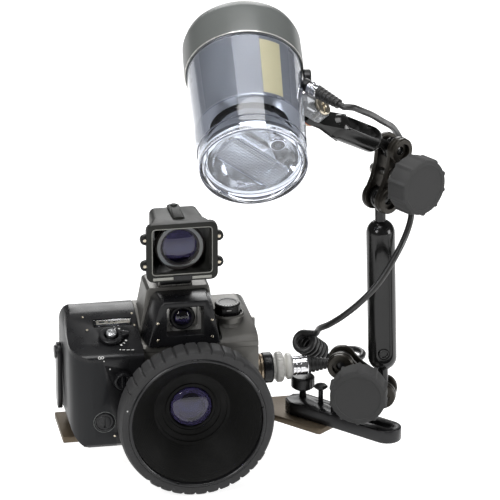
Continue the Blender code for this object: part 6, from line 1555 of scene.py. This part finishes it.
@dataclass
class Strobe:
    """The clear flash: housing and lug, grey cap, liner with its bare label, reflector, sensor and plug."""

    body: str = "strobe"
    rear_at: Triple = (47.11, -56.87, 344.49)
    radius: float = 45.5
    rear_radius: float = 49.5
    long: float = 108.5
    wall: float = 3.0
    cap_long: float = 45.5
    liner_front: float = 40.0
    sensor_radius: float = 8.0
    sensor_clearance: float = 0.8
    lug_radius: float = 9.0
    lug_reach: float = 16.5
    lug_bore: float = 3.3
    prism_pitch: float = 2.5
    prism_high: float = 0.55
    sheet_thick: float = 1.2
    label_reach: float = 80.0
    window_turn: float = 42.0
    panel_at: float = 6.4

    def build(self) -> None:
        """Models and dresses the strobe."""
        self._housing()
        self._lug()
        self._cap()
        self._liner()
        self._reflector()
        self._panel()
        self._sensor()
        self._dial()
        self._plug()

    def _front(self) -> Vector:
        """The middle of the front face."""
        return mm(*self.rear_at) - STROBE_WAY * self.long * MM

    def _place(self, station: float = 0.0) -> Matrix:
        """A frame on the strobe's axis, Z to its back."""
        return frame_at(self._front() + STROBE_WAY * station * MM, STROBE_WAY, STROBE_WAY.cross(UP))

    def _at(self, station: float) -> float:
        """The housing's outer radius at a station."""
        return self.radius + (self.rear_radius - self.radius) * station / self.long

    def _housing(self) -> None:
        """The clear shell with its front window, three stepped bands and thin dark rings of painted shade on
        its edges.
        """
        at, rear, wall = self._at, self.long, self.wall
        outer = [(0, 3.0), (40.0, 3.0), (41.2, 0.2), (at(0) - 1.2, 0), (at(0), 1.4), (at(9.8), 9.8),
                 (at(10) - 0.7, 10.2), (at(16.8) - 0.7, 16.8), (at(17.2), 17.2), (at(38.2), 38.2),
                 (at(38.8) - 0.6, 38.8), (at(rear) - 0.6, rear)]
        inner = [(at(rear) - wall, rear), (at(6) - wall, 6.0), (0, 6.0)]
        shell = BENCH.turned(outer + inner, 128, 0.3)
        BENCH.done(shell, "clear_housing", CLEAR_PLASTIC, self.body, ("strobe_housing",),
                   self._place(), 40)
        for index, (station, high) in enumerate(((10.0, 0.55), (17.0, 0.5), (38.6, 0.7))):
            r = at(station) - 0.75
            self._line_ring(f"band_line_{index + 1}", r, r + 0.35, station - high / 2, station + high / 2)
        for index, (r, z) in enumerate(((at(0) - 0.9, 0.25), (40.1, 2.75))):
            self._line_ring(f"front_line_{index + 1}", r - 0.35, r + 0.35, z - 0.15, z + 0.2)

    def _line_ring(self, name: str, inner: float, outer: float, low: float, high: float) -> None:
        """A thin dark ring of painted shade that draws an edge of the clear shell."""
        ring = BENCH.turned([(inner, low), (outer, low), (outer, high), (inner, high)], 128, 0)
        BENCH.done(ring, name, SHADED_EDGE, self.body, (), self._place(), 40)

    @staticmethod
    def _plug_place() -> Matrix:
        """A frame at the cord's plug, whose Z leads out along the cord."""
        return frame_at(mm(*PLUG_SEAT), Vector(PLUG_AXIS), UP)

    def _core(self, inset: float) -> Piece:
        """What lies further than inset inside the housing's outer face, as a tool."""
        return BENCH.turned([(0, -5), (self._at(0) - inset, -5), (self._at(self.long) - inset, self.long),
            (0, self.long)], 128, 0)

    def _lug(self) -> None:
        """The lug on the housing's side that lies on the arm's tongue, and the socket of the plug."""
        way = STROBE_WAY
        tongue, ball = mm(*ARM_TONGUE), mm(*SHORT_BALL)
        axis = way.cross(tongue - ball).normalized()
        pivot = tongue + axis * (LUG_HALF + GAP + TONGUE_THICK / 2) * MM
        place = frame_at(pivot, axis, way)
        front = self._front()
        seat = place.inverted() @ (front + way * (pivot - front).dot(way))
        inward = Vector((seat.x, seat.y)).normalized()
        across = Vector((-inward.y, inward.x)) * self.lug_radius
        angle = math.degrees(math.atan2(inward.y, inward.x))
        reach = inward * self.lug_reach
        outline = arc(0, 0, self.lug_radius, angle + 90, angle + 270, 30)
        outline += [(reach.x - across.x, reach.y - across.y), (reach.x + across.x, reach.y + across.y)]
        lug = BENCH.raised(outline, -LUG_HALF, LUG_HALF, 0.5, 3)
        BENCH.shaped(lug, BENCH.rod(self.lug_bore, -20, 20))
        BENCH.shaped(lug, self._core(2.2), place=place.inverted() @ self._place())
        BENCH.done(lug, "housing_lug", FROSTED, self.body, ("strobe_housing",), place)
        socket = BENCH.turned([(0, -6.0), (5.6, -6.0), (5.6, -0.6), (5.3, -0.3), (0, -0.3)], 64, 0.15)
        plug = self._plug_place()
        BENCH.shaped(socket, self._core(1.0), place=plug.inverted() @ self._place())
        BENCH.done(socket, "plug_socket", SATIN_BLACK, self.body, ("strobe_housing",), plug)

    def _cap(self) -> None:
        """The grey cap with a bright line round its rim."""
        r, base, long = self.rear_radius + 0.8, self.long + 0.3, self.cap_long
        cap = BENCH.turned([(0, base), (r - 0.6, base), (r - 0.2, base + 0.5), (r + 0.4, base + 2.0),
            (r + 0.2, base + 20.0), (r, base + long - 14.0), (r - 3.0, base + long - 6.0),
            (r - 10.0, base + long - 1.0), (r - 18.0, base + long), (0, base + long)], 128, 1.6)
        BENCH.done(cap, "grey_cap", CAP_GREY, "strobe_cap", ("strobe_cap",), self._place(), 24)
        line = BENCH.turned([(r - 0.9, base + 0.1), (r + 0.12, base + 0.1), (r + 0.3, base + 0.9),
            (r - 0.9, base + 0.9)], 128, 0.1)
        BENCH.done(line, "cap_rim_line", BRIGHT_SATIN, "strobe_cap", (), self._place())

    def _liner(self) -> None:
        """The grey liner behind the clear wall, with a darker panel and a bare cream block."""
        rear, wall = self.long, self.wall
        inner, front = self._at(rear) - wall - 0.3, self._at(self.liner_front) - wall - 0.3
        bore = 0.725 * self.radius
        liner = BENCH.turned([(bore, self.liner_front), (front, self.liner_front), (inner, rear - 0.3),
            (bore, rear - 0.3)], 128, 0.2)
        BENCH.done(liner, "grey_liner", LINER_SILVER, self.body, ("strobe_liner",),
            self._place())
        for name, finish, start, end, low, high, proud in (
            ("bare_label_panel", LABEL_GREY, -146.0, -42.0, 42.5, 107.0, 0.03),
            ("bare_label_block", LABEL_CREAM, -77.0, -54.0, 44.0, 104.0, 0.08),
        ):
            r0, r1 = self._at(low) - wall - 0.3, self._at(high) - wall - 0.3
            band = BENCH.turned([(r0 - 0.6, low), (r0 + proud, low), (r1 + proud, high), (r1 - 0.6, high)],
                160, 0)
            wedge = [(0.0, 0.0), *arc(0, 0, self.label_reach, start, end, 2)]
            BENCH.shaped(band, BENCH.raised(wedge, low - 5, high + 5, 0), "INTERSECT")
            BENCH.done(band, name, finish, self.body, (), self._place(), 40)

    def _reflector(self) -> None:
        """The silver dish behind the window."""
        reach = self._at(8.0) - self.wall - 1.0
        dish = [(reach * share, self.liner_front * depth) for share, depth in (
            (0, 0.84), (0.43, 0.83), (0.60, 0.75), (0.72, 0.64), (0.82, 0.49), (0.885, 0.36), (0.921, 0.22),
            (1, 0.22), (1, 0.285), (0.957, 0.385), (0.79, 0.74), (0.742, 0.992), (0, 0.992))]
        mirror = BENCH.turned(dish, 128, 0.4)
        BENCH.shaped(mirror, BENCH.rod(self.sensor_radius + self.sensor_clearance, 0, 30, 64),
            place=Matrix.Translation(self._sensor_offset()))
        BENCH.done(mirror, "silver_reflector", MIRROR, self.body, ("strobe_reflector",),
                   self._place(), 40)
        tube = BENCH.turned([(0, -27), (2.4, -27), (2.4, 27), (0, 27)], 48, 0.6)
        turn = self._place(21.5) @ spun(self.window_turn) @ Matrix.Rotation(math.radians(90), 4, "Y")
        BENCH.done(tube, "flash_tube", BRIGHT_SATIN, self.body, (), turn)

    def _sensor_offset(self) -> Vector:
        """Where the sensor's axis lies beside the strobe's."""
        return mm(0.44 * self.radius, -0.4286 * self.radius, 0)

    def _panel(self) -> None:
        """The prismatic window panel: a field of small pyramids between two long plain edges."""
        reach = self._at(8.0) - self.wall - 1.0
        half, low, high = 0.78 * reach, -0.331 * reach, 0.39 * reach
        pitch = self.prism_pitch
        nx, ny = round(2 * half / pitch), round((high - low) / pitch)
        bpy.ops.object.select_all(action="DESELECT")
        bpy.ops.mesh.primitive_grid_add(x_subdivisions=nx, y_subdivisions=ny, size=1)
        field = bpy.context.object
        field.scale = (nx * pitch * MM, ny * pitch * MM, 1.0)
        field.location = mm(0, (low + high) / 2, 0.45)
        bpy.ops.object.transform_apply(location=True, rotation=True, scale=True)
        Bench.open_up()
        bpy.ops.mesh.flip_normals()
        bpy.ops.mesh.poke(offset=self.prism_high * MM)
        bpy.ops.object.mode_set(mode="OBJECT")
        sheet = field.modifiers.new("thick", "SOLIDIFY")
        sheet.thickness = self.sheet_thick * MM
        sheet.offset = -1.0
        Bench.select_only(field)
        bpy.ops.object.modifier_apply(modifier=sheet.name)
        inset = rounded(-half + 0.4, half - 0.4, low + 2.2, high - 2.2, (5.0,) * 4, 8)
        BENCH.shaped(field, BENCH.raised(inset, -5, 6, 0), "INTERSECT")
        place = self._place(self.panel_at) @ spun(self.window_turn)
        edge = 0.904 * reach
        outside = [(edge, -10), (2 * reach, -10), (2 * reach, 50), (edge, 50)]
        rim = BENCH.raised(rounded(-half, half, low, high, (8.0, 8.0, 10.0, 10.0), 8), 0.0, 1.8, 0.2)
        BENCH.shaped(rim, BENCH.raised(inset, -5, 6, 0))
        for piece in (field, rim):
            BENCH.shaped(piece, BENCH.turned(outside, 128, 0),
                place=place.inverted() @ self._place(self.panel_at))
            BENCH.shaped(piece, BENCH.rod(self.sensor_radius + self.sensor_clearance, -10, 50, 64),
                place=place.inverted() @ self._place() @ Matrix.Translation(self._sensor_offset()))
        BENCH.done(field, "prism_field", PRISM_CLEAR, self.body, ("strobe_diffuser",),
            place, 5)
        BENCH.done(rim, "prism_rim", CLEAR_PLASTIC, self.body, ("strobe_diffuser",), place)
        # Two dark strips of painted shade along the panel's long edges
        for index, y in enumerate((low + 2.0, high - 2.4)):
            wide = math.sqrt(edge**2 - y**2) - 4.0
            end = wide if index else wide - 14.0
            BENCH.mark(f"panel_line_{index + 1}", self.body, place, (-wide, y - 0.22, -0.12),
                (end, y + 0.22, 0.05), SHADED_EDGE)

    def _sensor(self) -> None:
        """The round sensor in its bright tube."""
        r = self.sensor_radius
        place = self._place() @ Matrix.Translation(self._sensor_offset())
        tube = BENCH.turned([(0, 7.6), (r - 2.4, 7.6), (r - 2.2, 6.6), (r - 1.4, 6.9), (r - 0.3, 7.9),
            (r, 9.0), (r, 11.0), (r - 2, 11.8), (r - 2, 29.0), (0, 29.0)], 72, 0.25)
        BENCH.done(tube, "sensor_tube", CHROME, self.body, ("strobe_sensor",), place)
        eye = BENCH.turned([(0, 6.5), (r - 2.5, 6.5), (r - 2.3, 6.9), (r - 2.3, 7.7), (0, 7.7)], 64, 0.15)
        BENCH.done(eye, "sensor_window", DARK_WINDOW, self.body, (), place)
        pupil = BENCH.turned([(0, 6.38), (2.3, 6.38), (2.5, 6.6), (0, 6.6)], 48, 0.05)
        BENCH.done(pupil, "sensor_pupil", LABEL_GREY, self.body, (), place)

    def _dial(self) -> None:
        """The small black dial on the housing's side."""
        station = self.long - 7.1
        seat = self._at(station + 7.4) + 0.3
        frame_here = self._place(station)
        place = frame_at(frame_here @ mm(seat, 0, 0), frame_here.to_3x3() @ RIGHT,
            STROBE_AXIS)
        dial = BENCH.turned([(0, 0), (7.0, 0), (7.4, 0.6), (7.4, 5.0), (6.4, 6.2), (0, 6.2)], 72, 0.25)
        BENCH.knurled(dial, 18, (7.05, -0.35, 1.0), (8.2, 0.35, 7.0))
        BENCH.done(dial, "strobe_side_dial", SATIN_BLACK, "strobe_dial", ("strobe_dial",),
            place)

    def _plug(self) -> None:
        """The cord's nut in bright metal and its ribbed boot."""
        place = self._plug_place()
        nut_long = 11.2
        nut = BENCH.turned([(0, 0), (5.2, 0), (5.8, 0.8), (5.8, 4.4), (5.3, 4.6), (5.3, 5.2), (5.8, 5.4),
            (5.8, nut_long - 1.2), (5.0, nut_long - 0.1), (0, nut_long - 0.1)], 64, 0.12)
        BENCH.knurled(nut, 12, (5.45, -0.3, 0.9), (6.4, 0.3, nut_long - 1.4))
        BENCH.done(nut, "strobe_plug_nut", CHROME, self.body, ("strobe_plug",), place)
        boot = [(0, nut_long)] + [(r, h + nut_long) for r, h in ribbed_relief(5.6, 4.2,
            PLUG_LONG - nut_long, 5)[1:]]
        BENCH.done(BENCH.turned(boot, 56, 0.22), "strobe_plug_boot", CORD_BLACK, self.body,
                   ("strobe_plug",), place)


def main() -> None:
    """Builds the studio, the cords and each sub-assembly."""
    logging.basicConfig(level=logging.INFO, format="%(name)s: %(message)s")
    Studio().build()
    SyncCord().build()
    for assembly in (ConversionLens, CameraBody, OpticalFinder, SyncConnector, TrayAndBar, BallArm, Strobe):
        assembly().build()


if __name__ == "__main__":
    main()
